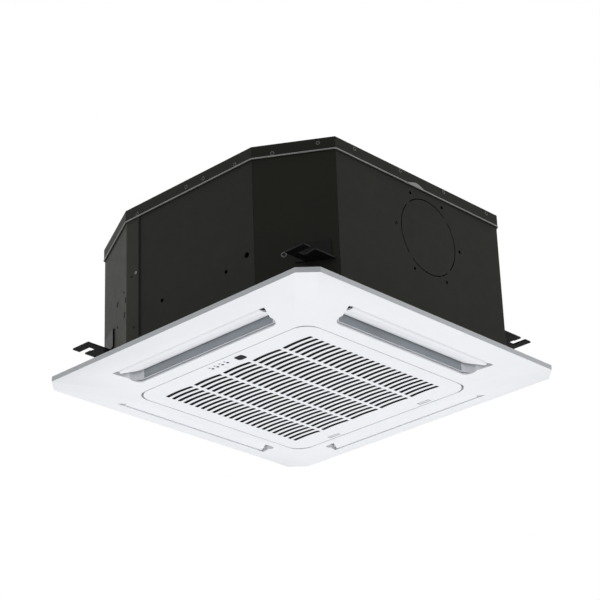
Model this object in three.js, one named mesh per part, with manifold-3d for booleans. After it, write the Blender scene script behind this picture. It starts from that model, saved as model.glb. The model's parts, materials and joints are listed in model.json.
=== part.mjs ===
// Compact ceiling cassette air conditioner, in millimetres, +Z up.
// The origin is the centre of the intake grille's lower face, which is the lowest face of the unit.
import * as THREE from 'three';
import { mergeVertices } from 'three/addons/utils/BufferGeometryUtils.js';
import Module from 'manifold-3d';

const wasm = await Module();
wasm.setup();

// ---------- driving dimensions ----------
const GAP = 0.3; // clearance between pieces that touch on the real unit
const CUT = 1; // how far a cutting tool runs past the face that it cuts
const QUARTERS = 4; // sides of the square unit

// panel
const PANEL_HALF = 323.5;
const PANEL_CHAMFER = 28.3;
const PANEL_RIM_LOW = 22.2; // height of the rim's lower edge
const PANEL_RIM_TOP = 31.4; // the ceiling board's face
const PANEL_TOP = 47;
const PANEL_SKIN = 3;
const OPENING_HALF = 208.5;
const OPENING_RADIUS = 28.5;
const BORDER = 4.5; // flat border round the central opening
const COLLAR_LOW = 0.5;

// louvres
const BLADE_WIDTH = 45;
const BLADE_THICK = 3.2;
const BLADE_HALF_LENGTH = 175;
const BLADE_END_TAPER = 10;
const BLADE_CORNER = 15;
const BLADE_OPEN_ANGLE = 31; // degrees from closed to the modelled rest position
const PIVOT_ABOVE = 8; // axis above the closed louvre's lower face
const PIVOT_FROM_EDGE = 5.2;
const PIN_RADIUS = 2.5;
const PIN_CLEARANCE = 0.4;
const EAR_THICK = 3;
const EAR_FROM_END = 1;
const EAR_INWARD = 6;
const EAR_OUTWARD = 3;
const EAR_SUNK = 0.5; // from the closed louvre's lower face to the ears
const BLADE_SIDE_PLAY = 2.3; // from the louvre's outer edge to the outlet's wall
const BLADE_INNER_PLAY = 1.7;
const BLADE_END_PLAY = 9; // from the louvre's end to the outlet's end wall

// air outlets, measured outward from the unit's axis
const SLOT_BAND = 24; // from the central opening to the outlets
const SLOT_INNER = OPENING_HALF + SLOT_BAND;
const SLOT_OUTER = SLOT_INNER + BLADE_INNER_PLAY + BLADE_WIDTH + BLADE_SIDE_PLAY;
const SLOT_HALF_LENGTH = BLADE_HALF_LENGTH + BLADE_END_PLAY; // along the outer edge
const SLOT_END_TAPER = 12;
const SLOT_CORNER = 16;
const DUCT_WALL = 3;
const LIP_TOP = 10.7;
const LIP_THICK = 2;
const WINDOW_END_INSET = 45; // from the louvre's end to the window's end
const WINDOW_HALF_LENGTH = BLADE_HALF_LENGTH - WINDOW_END_INSET; // window through gasket and pan
const WINDOW_LEDGE = 3.5;
const WINDOW_OUTER = SLOT_OUTER - WINDOW_LEDGE;
const GASKET_RIM = 3;
const GASKET_CORNER = 10;
const PIVOT_OUT = SLOT_OUTER - BLADE_SIDE_PLAY - PIVOT_FROM_EDGE; // louvre axis from the unit's axis

// louvre motors
const MOTOR_SMALL_RADIUS = 10;
const MOTOR_SMALL_LENGTH = 18;
const MOTOR_SMALL_OFFSET = 6;

// intake grille
const GRILLE_SEAM = 1;
const GRILLE_HALF = OPENING_HALF - GRILLE_SEAM;
const GRILLE_RADIUS = 33; // rounder than the opening, so that the corners clear it as the grille swings
const GRILLE_THICK = 3;
const GRILLE_FLANGE = 8; // height of the upturned edge
const FLANGE_WALL = 2;
const FLANGE_ROOT = 0.5;
const ROW_PITCH = 13.92;
const ROW_SHIFT = -2;
const ROW_MARGIN = 40; // from the grille's edge to the first row of slots
const GRILLE_ROWS = Math.floor((2 * (GRILLE_HALF - ROW_MARGIN)) / ROW_PITCH);
const COLUMN_PITCH = 71.6;
const COLUMN_MARGIN = 28;
const GRILLE_COLUMNS = Math.floor((2 * (GRILLE_HALF - COLUMN_MARGIN)) / COLUMN_PITCH);
const GRILLE_SLOT_LENGTH = 64.5;
const GRILLE_SLOT_WIDTH = 7.6;
const GRILLE_SLOT_BOW = 2.2;
const HINGE_INSET = 4.5;
const HINGE_IN = GRILLE_HALF - HINGE_INSET; // hinge axis from the unit's axis
const HINGE_HEIGHT = 1.8;
const HINGE_PIN_RADIUS = 1.2;
const HINGE_PIN_SEAT = 2.47; // depth of the pins in the opening's wall

// latches
const LATCH_Y = 110;
const LATCH_LENGTH = 28;
const LATCH_INSET = 9.5;
const LATCH_X = GRILLE_HALF - LATCH_INSET;
const LATCH_BACK = 12; // the slider's length behind its thumb rib
const LATCH_TONGUE = 3;
const LATCH_CATCH = 2;
const THUMB_WIDTH = 2.4;
const THUMB_INSET = 1;
const THUMB_SLOT_IN = 5;
const THUMB_SLOT_OUT = 4;

// display
const DISPLAY_INSET = 19.5;
const DISPLAY_X = DISPLAY_INSET - GRILLE_HALF;
const WINDOW_Y = -35.3;
const WINDOW_LENGTH = 18;
const WINDOW_WIDTH = 15;
const LENS_RECESS = 0.1;
const LIGHT_Y = 12.6;
const LIGHT_PITCH = 12;
const LIGHT_COUNT = 4;
const LIGHT_RADIUS = 1.6;
const LIGHT_BAR_HALF = 4;
const LIGHT_BAR_THICK = 1.7;
const BUTTON_FROM_LIGHTS = 11;
const BUTTON_X = DISPLAY_X + BUTTON_FROM_LIGHTS;
const BUTTON_Y = 9;
const BUTTON_RADIUS = 2.4;
const BUTTON_LIP = 1;
const BUTTON_LIP_THICK = 1.2;
const BUTTON_RECESS = 0.2;
const DISPLAY_BOX_HIGH = 12;
const DISPLAY_BOX_WALL = 1.5;
const DISPLAY_BOX_MARGIN = 4;

// filter
const FILTER_INSET_X = 37.5;
const FILTER_INSET_Y = 19.5;
const FILTER_HALF_X = GRILLE_HALF - FILTER_INSET_X;
const FILTER_HALF_Y = GRILLE_HALF - FILTER_INSET_Y;
const FILTER_THICK = 4;
const FILTER_CELLS = 4;
const FILTER_RIB = 5;
const FILTER_EDGE = 6;
const FILTER_NET = 1.2;

// body
const BODY_LOW = 50;
const BODY_HIGH = 310;
const LID_HALF_X = 289;
const LID_FRONT = 293; // toward -Y
const LID_BACK = 285; // toward +Y
const FRONT_LEG_X = 76;
const FRONT_LEG_Y = 121;
const BACK_LEG_X = 74;
const BACK_LEG_Y = 143;
const SHEET = 1.2;
const LID_FLANGE = 24;
const LID_LIP = 0.6; // from the lid's flange to the casing's sheets
const WALL_INSET = SHEET + LID_LIP;
const WALL_TOP = BODY_HIGH - SHEET - GAP;
const COVER_LAP = 34; // how far the corner cover reaches round on to the left side
const COVER_JOINT_Y = LID_BACK - BACK_LEG_Y - COVER_LAP;
const LINER_THICK = 12;
const DRILL = 10; // reach of a drilled hole to each side of its sheet

// fresh-air knock-out in the front sheet
const KNOCKOUT_X = 17;
const KNOCKOUT_Z = 200;
const KNOCKOUT_RADIUS = 71;
const KNOCKOUT_CUT = 1.6;
const KNOCKOUT_TABS = 4;
const KNOCKOUT_TAB_DEGREES = 9;
const KNOCKOUT_TAB_TURN = 45;
const KNOCKOUT_HOLES = 6;
const KNOCKOUT_HOLE_CIRCLE = 83;
const KNOCKOUT_HOLE_RADIUS = 3;

// holes in the left sheet
const LEFT_HOLES = [
  { y: -154, z: 116, radius: 5 },
  { y: -105, z: 103, radius: 3.5 },
  { y: 50.6, z: 105, radius: 3.5 },
];

// hanging lugs
const LUG_BEYOND = 3; // how far the lugs reach past the lid
const LUG_OUT = LID_HALF_X + LUG_BEYOND;
const LUG_REACH_IN = 92;
const LUG_BOLT_INSET = 19;
const LUG_BOLT_X = LID_HALF_X - LUG_BOLT_INSET;
const LUG_BOLT_BACK = 28; // from the lid's front or back edge to the bolt
const LUG_BOLT_Y = LID_BACK - LUG_BOLT_BACK;
const LUG_HALF_Y = 21;
const LUG_HEIGHT = 86;
const LUG_SHEET = 2.5;
const LUG_SLOT = 12;
const LUG_SLOT_REACH = 8;
const LUG_FLANGE_HEIGHT = 34;
const LUG_FLANGE_HALF = 30;
const LUG_FLANGE_SHIFT = 14;

// fan and motor
const FAN_RADIUS = 162;
const FAN_EYE = 121;
const FAN_LOW = 122;
const FAN_HIGH = 262;
const FAN_SHEET = 2.5;
const FAN_BLADES = 7;
const SHROUD_RISE = 28;
const SHROUD_THROAT = 15;
const SHROUD_FLARE = 12;
const CONE_RISE = 30; // from the hub plate down to the cone's waist
const CONE_WAIST = 14;
const CONE_RIM = 34;
const BLADE_SWEEP = 0.62; // radians
const FAN_BLADE_START = 12;
const FAN_BLADE_END = 3;
const FAN_BLADE_EDGE = 1.2;
const FAN_BLADE_SWELL = 3.2;
const HUB_RADIUS = 11;
const HUB_FLARE = 4;
const HUB_LOW = 182;
const HUB_HIGH = 200;
const SHAFT_RADIUS = 5;
const SHAFT_BELOW_NUT = 4;
const MOTOR_RADIUS = 52;
const MOTOR_LOW = 226;
const MOTOR_FLANGE = 72;
const MOTOR_FLANGE_EDGE = 2;
const MOTOR_BOSS = 24;
const MOTOR_BOSS_HEIGHT = 6;
const MOTOR_SHOULDER = 16;
const MOTOR_BORE = 34;
const NUT_HEIGHT = 8;
const NUT_WALL = 5;

// heat exchanger
const FAN_CLEAR = 24; // from the fan to the coil
const COIL_INNER = FAN_RADIUS + FAN_CLEAR;
const COIL_DEPTH = 30;
const COIL_OUTER = COIL_INNER + COIL_DEPTH;
const COIL_RADIUS = 48;
const COIL_CORNER = 98; // room for the pipes at the back right corner
const COIL_END = COIL_OUTER - COIL_CORNER;
const END_PLATE = 1.5;
const END_PLATE_RIM = 4;

// drain pan
const PAN_RING = 14; // from the coil's inner face to the pan's hole
const PAN_HOLE = COIL_INNER - PAN_RING;
const PAN_HIGH = 94;
const PAN_WALL = 5;
const TROUGH_FLOOR = 68;
const TROUGH_RIM = 6;

// air inlet ring
const BELL_IN_EYE = 9; // from the ring's throat to the fan's eye
const BELL_THROAT = FAN_EYE - BELL_IN_EYE;
const BELL_RIM = 18;
const BELL_FLANGE = PAN_HOLE + BELL_RIM;
const BELL_SHEET = 2.4;
const BELL_HIGH = 130;
const BELL_LOW = BODY_LOW - 2 * GAP - BELL_SHEET;
const BELL_MOUTH = 34;
const BELL_CURVE = 12;
const BELL_CURVE_HIGH = 14;
const BELL_NECK = 3;
const BELL_NECK_HIGH = 40;

// pipes, pump and drain at the back right corner
const PIPE_INSET = 51;
const PIPE_X = COIL_OUTER - PIPE_INSET;
const GAS_Z = 235;
const LIQUID_Z = 195;
const GAS_RADIUS = 6.35;
const LIQUID_RADIUS = 4.8;
const PIPE_BEND = 15;
const PIPE_BEYOND = 23;
const PIPE_END_Y = LID_BACK + PIPE_BEYOND;
const FLARE_WALL = 7;
const FLARE_FROM_CASING = 8;
const FLARE_FROM_END = 1;
const PUMP_INSET = 20;
const PUMP_X = COIL_OUTER - PUMP_INSET;
const PUMP_Y = COIL_OUTER - PUMP_INSET;
const PUMP_RADIUS = 24;
const PUMP_FOOT = 9;
const PUMP_SHOULDER = 20;
const PUMP_CROWN = 6;
const PUMP_ABOVE_PAN = 10;
const PUMP_HIGH = 160;
const DRAIN_Z = 140;
const DRAIN_RADIUS = 12.5;
const DRAIN_BORE = 10;
const DRAIN_BEYOND = 27;
const DRAIN_END_Y = LID_BACK + DRAIN_BEYOND;
const FLOAT_INSET_X = 64;
const FLOAT_INSET_Y = 12;
const FLOAT_X = COIL_OUTER - FLOAT_INSET_X;
const FLOAT_Y = COIL_OUTER - FLOAT_INSET_Y;
const FLOAT_RADIUS = 8;
const FLOAT_HEIGHT = 14;
const STEM_RADIUS = 2.5;
const STEM_HIGH = 130;
const STEM_HEAD_HALF = 6;
const STEM_HEAD_LOW = 124;
const STEM_HEAD_HIGH = 134;
const PLUG_FROM_PUMP = 28;
const PLUG_X = PUMP_X;
const PLUG_Y = PUMP_Y - PLUG_FROM_PUMP;
const PLUG_RADIUS = 10;
const PLUG_LIP = 3;
const PLUG_FOOT = 1.8;

// electrical box, under the bell mouth's flange
const EBOX_HALF_X = 100;
const EBOX_FROM_OPENING = 8.5;
const EBOX_DEPTH = 68;
const EBOX_FAR = OPENING_HALF - EBOX_FROM_OPENING;
const EBOX_NEAR = EBOX_FAR - EBOX_DEPTH;
const EBOX_LOW = 23;
const EBOX_WALL = 1.5;
const BOARD_INSET_X = 8;
const BOARD_INSET_Y = 6;
const BOARD_END_INSET = 50; // room for the terminals
const BOARD_DROP = 3; // from the tray's roof down to the board
const BOARD_THICK = 2;
const RELAY_START = 40;
const RELAY_LENGTH = 30;
const RELAY_INSET_NEAR = 14;
const RELAY_INSET_FAR = 20;
const RELAY_HIGH = 10;
const POST_START = 90; // the post that carries the board
const POST_LENGTH = 30;
const POST_INSET_NEAR = 20;
const POST_INSET_FAR = 26;
const TERMINAL_WIDTH = 32;
const TERMINAL_INSET_Y = 10;
const TERMINAL_HIGH = 12;

// panel bolts
const BOLT_INSET = 17.5;
const BOLT_AT = OPENING_HALF - BOLT_INSET;
const BOLT_RADIUS = 2.5;
const BOLT_HEAD = 6;
const BOLT_HEAD_THICK = 3;
const TAB_HALF = 14;
const TAB_MARGIN = 6;
const TAB_LOW = 40;
const BOLT_DEPTH = 14; // reach of the bolts into the drain pan

// ---------- finishes ----------
const finish = (color, roughness, metalness) => ({ color, roughness, metalness });
const WHITE_PLASTIC = finish('#eceef2', 0.42, 0);
const GREY_FOAM = finish('#73777c', 0.85, 0);
const BLACK_SHEET = finish('#2c2d2a', 0.5, 0.3);
const BLACK_STEEL = finish('#17181a', 0.45, 0.4);
const BLACK_PLASTIC = finish('#202124', 0.5, 0);
const BLACK_FOAM = finish('#1b1b1c', 0.95, 0);
const WHITE_FOAM = finish('#d9dad8', 0.9, 0);
const ALUMINIUM = finish('#b6babd', 0.4, 0.9);
const COPPER = finish('#b8703f', 0.35, 0.95);
const BRASS = finish('#c2a04f', 0.35, 0.95);
const ZINC = finish('#a7abad', 0.4, 0.9);
const BOARD_GREEN = finish('#2e6b46', 0.6, 0);
const SMOKED = finish('#0b0c0e', 0.12, 0);
const CLEAR_GREEN = finish('#9bb3a6', 0.25, 0);
const FILTER_GREY = finish('#5b6066', 0.8, 0);

// ---------- solids ----------
const point = (x, y) => new THREE.Vector2(x, y);
const radians = (angle) => (angle * Math.PI) / 180;
const degrees = (angle) => (angle * 180) / Math.PI;

function solidOf(geometry) {
  const bare = geometry.clone();
  bare.deleteAttribute('normal');
  bare.deleteAttribute('uv');
  const merged = mergeVertices(bare, 1e-4);
  const vertProperties = new Float32Array(merged.attributes.position.array);
  const triVerts = new Uint32Array(merged.index.array);
  return new wasm.Manifold(new wasm.Mesh({ numProp: 3, vertProperties, triVerts }));
}

function meshOf(name, solid, look) {
  const data = solid.getMesh();
  const geometry = new THREE.BufferGeometry();
  geometry.setAttribute('position', new THREE.BufferAttribute(new Float32Array(data.vertProperties), 3));
  geometry.setIndex(new THREE.BufferAttribute(new Uint32Array(data.triVerts), 1));
  geometry.computeVertexNormals();
  const mesh = new THREE.Mesh(geometry, new THREE.MeshStandardMaterial(look));
  mesh.name = name;
  return mesh;
}

function prism(points, low, high, holes = []) {
  const shape = new THREE.Shape(points);
  shape.holes = holes.map((hole) => new THREE.Path(hole));
  const geometry = new THREE.ExtrudeGeometry(shape, { depth: high - low, bevelEnabled: false });
  return solidOf(geometry.translate(0, 0, low));
}

function block(x0, x1, y0, y1, z0, z1) {
  const geometry = new THREE.BoxGeometry(x1 - x0, y1 - y0, z1 - z0);
  return solidOf(geometry.translate((x0 + x1) / 2, (y0 + y1) / 2, (z0 + z1) / 2));
}

function rod(radius, from, to, sides = 16) {
  const start = new THREE.Vector3(...from);
  const end = new THREE.Vector3(...to);
  const along = end.clone().sub(start);
  const geometry = new THREE.CylinderGeometry(radius, radius, along.length(), sides);
  const turn = new THREE.Quaternion().setFromUnitVectors(new THREE.Vector3(0, 1, 0), along.normalize());
  const middle = start.add(end).multiplyScalar(0.5);
  return solidOf(geometry.applyQuaternion(turn).translate(middle.x, middle.y, middle.z));
}

function lathe(profile, segments) {
  const closed = profile.map(([r, z]) => point(r, z));
  closed.push(closed[0].clone());
  const geometry = new THREE.LatheGeometry(closed, segments).rotateX(Math.PI / 2);
  const solid = solidOf(geometry);
  return solid.volume() > 0 ? solid : solidOf(flipped(geometry));
}

function flipped(geometry) {
  const index = geometry.index.array.slice();
  for (let i = 0; i < index.length; i += 3) {
    [index[i], index[i + 1]] = [index[i + 1], index[i]];
  }
  const turned = geometry.clone();
  turned.setIndex(new THREE.BufferAttribute(index, 1));
  return turned;
}

// a rod that stands upright
function upright(radius, x, y, low, high, sides = 12) {
  return rod(radius, [x, y, low], [x, y, high], sides);
}

// a rod that lies along Y, as long to each side
function alongY(radius, x, z, half, sides = 10) {
  return rod(radius, [x, -half, z], [x, half, z], sides);
}

// a pipe of round section along straight runs joined by bends
function pipe(radius, corners, bend, sides = 12) {
  const path = new THREE.CurvePath();
  const stops = corners.map((c) => new THREE.Vector3(...c));
  let from = stops[0];
  for (let i = 1; i < stops.length - 1; i += 1) {
    const back = stops[i - 1].clone().sub(stops[i]).setLength(bend).add(stops[i]);
    const on = stops[i + 1].clone().sub(stops[i]).setLength(bend).add(stops[i]);
    path.add(new THREE.LineCurve3(from, back));
    path.add(new THREE.QuadraticBezierCurve3(back, stops[i], on));
    from = on;
  }
  path.add(new THREE.LineCurve3(from, stops[stops.length - 1]));
  const ring = new THREE.Shape();
  ring.absarc(0, 0, radius, 0, 2 * Math.PI);
  const steps = 10 * (corners.length - 1);
  return solidOf(new THREE.ExtrudeGeometry(ring, {
    steps, curveSegments: sides / 2, bevelEnabled: false, extrudePath: path,
  }));
}

// a closed solid between matching outlines at rising heights
function loft(rings) {
  const count = rings[0].points.length;
  const positions = [];
  rings.forEach(({ points, z }) => points.forEach((p) => positions.push(p.x, p.y, z)));
  const index = [];
  for (let r = 0; r < rings.length - 1; r += 1) {
    for (let i = 0; i < count; i += 1) {
      const a = r * count + i;
      const b = r * count + ((i + 1) % count);
      index.push(a, b, b + count, a, b + count, a + count);
    }
  }
  const caps = THREE.ShapeUtils.triangulateShape(rings[0].points, []);
  const top = (rings.length - 1) * count;
  caps.forEach(([a, b, c]) => index.push(c, b, a));
  const lid = THREE.ShapeUtils.triangulateShape(rings[rings.length - 1].points, []);
  lid.forEach(([a, b, c]) => index.push(top + a, top + b, top + c));
  const geometry = new THREE.BufferGeometry();
  geometry.setAttribute('position', new THREE.Float32BufferAttribute(positions, 3));
  geometry.setIndex(index);
  const solid = solidOf(geometry);
  return solid.volume() > 0 ? solid : solidOf(flipped(geometry));
}

function turnedAboutZ(solid, quarterTurns) {
  return solid.rotate([0, 0, 90 * quarterTurns]);
}

// ---------- outlines ----------
function arcPoints(cx, cy, radius, from, to, steps) {
  const points = [];
  for (let i = 0; i <= steps; i += 1) {
    const angle = radians(from + ((to - from) * i) / steps);
    points.push(point(cx + radius * Math.cos(angle), cy + radius * Math.sin(angle)));
  }
  return points;
}

const circle = (radius, steps) => arcPoints(0, 0, radius, 0, 360, steps).slice(0, -1);

function roundedSquare(half, radius, steps = 6) {
  const inner = half - radius;
  return [
    ...arcPoints(inner, inner, radius, 0, 90, steps),
    ...arcPoints(-inner, inner, radius, 90, 180, steps),
    ...arcPoints(-inner, -inner, radius, 180, 270, steps),
    ...arcPoints(inner, -inner, radius, 270, 360, steps),
  ];
}

// a square with small chamfers, with as many points per corner as roundedSquare gives
function chamferedSquare(half, leg, steps = 6) {
  const points = [];
  for (let corner = 0; corner < QUARTERS; corner += 1) {
    for (let i = 0; i <= steps; i += 1) {
      const along = (leg * i) / steps;
      const p = point(half - along, half - leg + along);
      points.push(p.rotateAround(point(0, 0), (corner * Math.PI) / 2));
    }
  }
  return points;
}

// half the opening's width in Y at a distance x from the unit's axis, inside its rounded corner
function openingReach(x) {
  const centre = OPENING_HALF - OPENING_RADIUS;
  return centre + Math.sqrt(OPENING_RADIUS ** 2 - (x - centre) ** 2);
}

// the casing's outline, drawn in from the lid's edge; counter-clockwise from the right side
function bodyOutline(inset) {
  const x = LID_HALF_X;
  const corners = [
    point(x, -LID_FRONT + FRONT_LEG_Y),
    point(x, LID_BACK - BACK_LEG_Y),
    point(x - BACK_LEG_X, LID_BACK),
    point(-x + BACK_LEG_X, LID_BACK),
    point(-x, LID_BACK - BACK_LEG_Y),
    point(-x, -LID_FRONT + FRONT_LEG_Y),
    point(-x + FRONT_LEG_X, -LID_FRONT),
    point(x - FRONT_LEG_X, -LID_FRONT),
  ];
  return insetPolygon(corners, inset);
}

function insetPolygon(corners, inset) {
  const count = corners.length;
  const lines = corners.map((a, i) => {
    const b = corners[(i + 1) % count];
    const along = b.clone().sub(a).normalize();
    const inward = point(-along.y, along.x);
    return { at: a.clone().addScaledVector(inward, inset), along };
  });
  return lines.map((line, i) => crossing(lines[(i + count - 1) % count], line));
}

function crossing(first, second) {
  const between = second.at.clone().sub(first.at);
  const turn = first.along.x * second.along.y - first.along.y * second.along.x;
  const reach = (between.x * second.along.y - between.y * second.along.x) / turn;
  return first.at.clone().addScaledVector(first.along, reach);
}

// an air outlet on the +X side, seen from above; grow widens it all round
function slotOutline(grow) {
  const outer = SLOT_OUTER + grow;
  const inner = SLOT_INNER - grow;
  const outerHalf = SLOT_HALF_LENGTH + grow;
  const radius = SLOT_CORNER + grow;
  const cornerHalf = SLOT_HALF_LENGTH - SLOT_END_TAPER - SLOT_CORNER;
  const corner = arcPoints(inner + radius, cornerHalf, radius, 70, 180, 6);
  const upper = [point(outer, outerHalf), ...corner];
  const lower = upper.map((p) => point(p.x, -p.y)).reverse();
  return [...lower, ...upper];
}

// ---------- panel ----------
const PANEL_SLOPE = PANEL_RIM_LOW / (PANEL_HALF - OPENING_HALF - BORDER);
const skinLow = (out) => PANEL_SLOPE * (out - OPENING_HALF - BORDER);
const PIVOT_Z = skinLow(PIVOT_OUT) + PIVOT_ABOVE;
const CLOSED_TILT = degrees(Math.atan(PANEL_SLOPE));
const PIN_END = SLOT_HALF_LENGTH + DUCT_WALL - 1;
const HINGE_PIN_HALF_SPAN = openingReach(HINGE_IN) + HINGE_PIN_SEAT;

const collarOutline = (grow) => (
  roundedSquare(OPENING_HALF + PANEL_SKIN + grow, OPENING_RADIUS + PANEL_SKIN)
);

// everything above the panel's lower face, up to the given height
function panelBlock(top) {
  const rim = chamferedSquare(PANEL_HALF, PANEL_CHAMFER);
  return loft([
    { points: roundedSquare(OPENING_HALF + BORDER, OPENING_RADIUS + BORDER), z: 0 },
    { points: rim, z: PANEL_RIM_LOW },
    { points: rim, z: top },
  ]);
}

function panelShell() {
  const border = roundedSquare(OPENING_HALF + BORDER, OPENING_RADIUS + BORDER);
  const inside = PANEL_HALF - PANEL_SKIN;
  const insideRim = chamferedSquare(inside, PANEL_CHAMFER);
  const hollow = loft([
    { points: border, z: PANEL_SKIN },
    { points: insideRim, z: PANEL_SKIN + skinLow(inside) },
    { points: insideRim, z: PANEL_TOP },
  ]);
  return panelBlock(PANEL_RIM_TOP).subtract(hollow);
}

function panelFrame() {
  let frame = panelShell().add(prism(collarOutline(0), COLLAR_LOW, PANEL_TOP));
  const aboveSkin = panelBlock(PANEL_TOP).translate(0, 0, PANEL_SKIN / 2);
  const outletWall = prism(slotOutline(DUCT_WALL), LIP_TOP - LIP_THICK, PANEL_TOP);
  const wall = outletWall.intersect(aboveSkin);
  for (let side = 0; side < QUARTERS; side += 1) {
    frame = frame.add(turnedAboutZ(wall, side));
  }
  const aboveLip = roundedSquare(SLOT_INNER, SLOT_CORNER);
  frame = frame.subtract(prism(aboveLip, LIP_TOP, PANEL_TOP + CUT, [collarOutline(0)]));
  frame = frame.subtract(prism(roundedSquare(OPENING_HALF, OPENING_RADIUS), -CUT, TAB_LOW));
  frame = frame.subtract(topOpening());
  for (let side = 0; side < QUARTERS; side += 1) {
    frame = frame.subtract(turnedAboutZ(prism(slotOutline(0), -CUT, PANEL_TOP + CUT), side));
    const pinReach = SLOT_HALF_LENGTH + 2 * DUCT_WALL;
    const pinHole = alongY(PIN_RADIUS + PIN_CLEARANCE, PIVOT_OUT, PIVOT_Z, pinReach, 16);
    frame = frame.subtract(turnedAboutZ(pinHole, side));
    const bore = BOLT_RADIUS + PIN_CLEARANCE;
    const boltHole = upright(bore, BOLT_AT, BOLT_AT, TAB_LOW - CUT, PANEL_TOP + CUT, 16);
    frame = frame.subtract(turnedAboutZ(boltHole, side));
  }
  const hingeBore = HINGE_PIN_RADIUS + PIN_CLEARANCE;
  frame = frame.subtract(alongY(hingeBore, -HINGE_IN, HINGE_HEIGHT, HINGE_PIN_HALF_SPAN + GAP));
  [-LATCH_Y, LATCH_Y].forEach((y) => {
    const low = GRILLE_THICK + 1;
    const half = LATCH_LENGTH / 4 + GAP;
    const reach = OPENING_HALF + LATCH_CATCH + GAP;
    const pocket = block(OPENING_HALF - CUT, reach, y - half, y + half, low - GAP, low + LATCH_TONGUE + GAP);
    frame = frame.subtract(pocket);
  });
  return meshOf('panel_frame', frame, WHITE_PLASTIC);
}

// the opening at the top keeps a tab in each corner for its bolt
function topOpening() {
  const edge = OPENING_HALF;
  const tab = edge - 2 * TAB_HALF - TAB_MARGIN;
  const corners = [
    point(edge, -tab), point(edge, tab), point(tab, edge), point(-tab, edge),
    point(-edge, tab), point(-edge, -tab), point(-tab, -edge), point(tab, -edge),
  ];
  return prism(corners, TAB_LOW - CUT, PANEL_TOP + CUT);
}

function panelFoam() {
  const outer = roundedSquare(SLOT_INNER - GAP, SLOT_CORNER);
  return meshOf('panel_foam', prism(outer, LIP_TOP + GAP, PANEL_TOP, [collarOutline(GAP)]), GREY_FOAM);
}

function outletWindow() {
  return block(SLOT_INNER, WINDOW_OUTER, -WINDOW_HALF_LENGTH, WINDOW_HALF_LENGTH, 0, BODY_HIGH);
}

function panelGasket() {
  const outer = roundedSquare(SLOT_OUTER + GASKET_RIM, GASKET_CORNER);
  const inner = roundedSquare(OPENING_HALF, OPENING_RADIUS);
  let ring = prism(outer, PANEL_TOP + GAP, BODY_LOW - GAP, [inner]);
  ring = ring.intersect(prism(bodyOutline(WALL_INSET), 0, BODY_HIGH));
  for (let side = 0; side < QUARTERS; side += 1) {
    ring = ring.subtract(turnedAboutZ(outletWindow(), side));
  }
  return meshOf('panel_gasket', ring, BLACK_FOAM);
}

function panelBolts(group) {
  const headTop = TAB_LOW - GAP;
  for (let side = 0; side < QUARTERS; side += 1) {
    const shank = upright(BOLT_RADIUS, BOLT_AT, BOLT_AT, headTop - 1, BODY_LOW + BOLT_DEPTH, 10);
    const head = upright(BOLT_HEAD, BOLT_AT, BOLT_AT, headTop - BOLT_HEAD_THICK - 1, headTop, 6);
    group.add(meshOf(`panel_bolt_${side + 1}`, turnedAboutZ(shank.add(head), side), ZINC));
  }
}

// ---------- louvres ----------
const SIDES = ['right', 'back', 'left', 'front'];

function bladeOutline() {
  const cornerHalf = BLADE_HALF_LENGTH - BLADE_END_TAPER - BLADE_CORNER;
  const upper = [
    point(0, BLADE_HALF_LENGTH),
    ...arcPoints(BLADE_WIDTH - BLADE_CORNER, cornerHalf, BLADE_CORNER, 75, 0, 6),
  ];
  const lower = upper.map((p) => point(p.x, -p.y)).reverse();
  return [...upper, ...lower].reverse();
}

// modelled with its axis on local Y: local -X points to the unit's axis when the louvre lies level
function bladeSolid() {
  const plate = prism(bladeOutline(), 0, BLADE_THICK).mirror([1, 0, 0]);
  let blade = plate.translate([PIVOT_FROM_EDGE, 0, -PIVOT_ABOVE]);
  const earLow = EAR_SUNK - PIVOT_ABOVE;
  [-1, 1].forEach((end) => {
    const y = end * (BLADE_HALF_LENGTH - EAR_THICK / 2 - EAR_FROM_END);
    const ear = block(-EAR_INWARD, EAR_OUTWARD, y - EAR_THICK / 2, y + EAR_THICK / 2, earLow, PIN_RADIUS);
    blade = blade.add(ear).add(rod(PIN_RADIUS, [0, y, 0], [0, end * PIN_END, 0]));
  });
  return blade;
}

function louvres(group) {
  SIDES.forEach((name, side) => {
    const tilt = BLADE_OPEN_ANGLE - CLOSED_TILT;
    const placed = bladeSolid().rotate([0, tilt, 0]).translate([PIVOT_OUT, 0, PIVOT_Z]);
    group.add(meshOf(`louvre_${name}`, turnedAboutZ(placed, side), WHITE_PLASTIC));
    group.add(meshOf(`louvre_motor_${name}`, turnedAboutZ(louvreMotor(), side), BLACK_PLASTIC));
  });
}

function louvreMotor() {
  const start = SLOT_HALF_LENGTH + DUCT_WALL + GAP;
  const middle = PIVOT_Z + MOTOR_SMALL_OFFSET;
  const end = start + MOTOR_SMALL_LENGTH;
  const can = rod(MOTOR_SMALL_RADIUS, [PIVOT_OUT, start, middle], [PIVOT_OUT, end, middle]);
  const stub = rod(PIN_RADIUS, [PIVOT_OUT, PIN_END + GAP, PIVOT_Z], [PIVOT_OUT, start + 1, PIVOT_Z]);
  return can.add(stub);
}

// ---------- grille and what it carries ----------
function grilleSlot() {
  const half = GRILLE_SLOT_LENGTH / 2;
  const steps = 2;
  const edge = (offset) => {
    const points = [];
    for (let i = 0; i <= steps; i += 1) {
      const share = (2 * i) / steps - 1;
      points.push(point(offset - GRILLE_SLOT_BOW * (1 - share * share), share * half));
    }
    return points;
  };
  const near = edge(-GRILLE_SLOT_WIDTH / 2 + GRILLE_SLOT_BOW / 2);
  const far = edge(GRILLE_SLOT_WIDTH / 2 + GRILLE_SLOT_BOW / 2);
  return [...far, ...near.reverse()];
}

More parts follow.
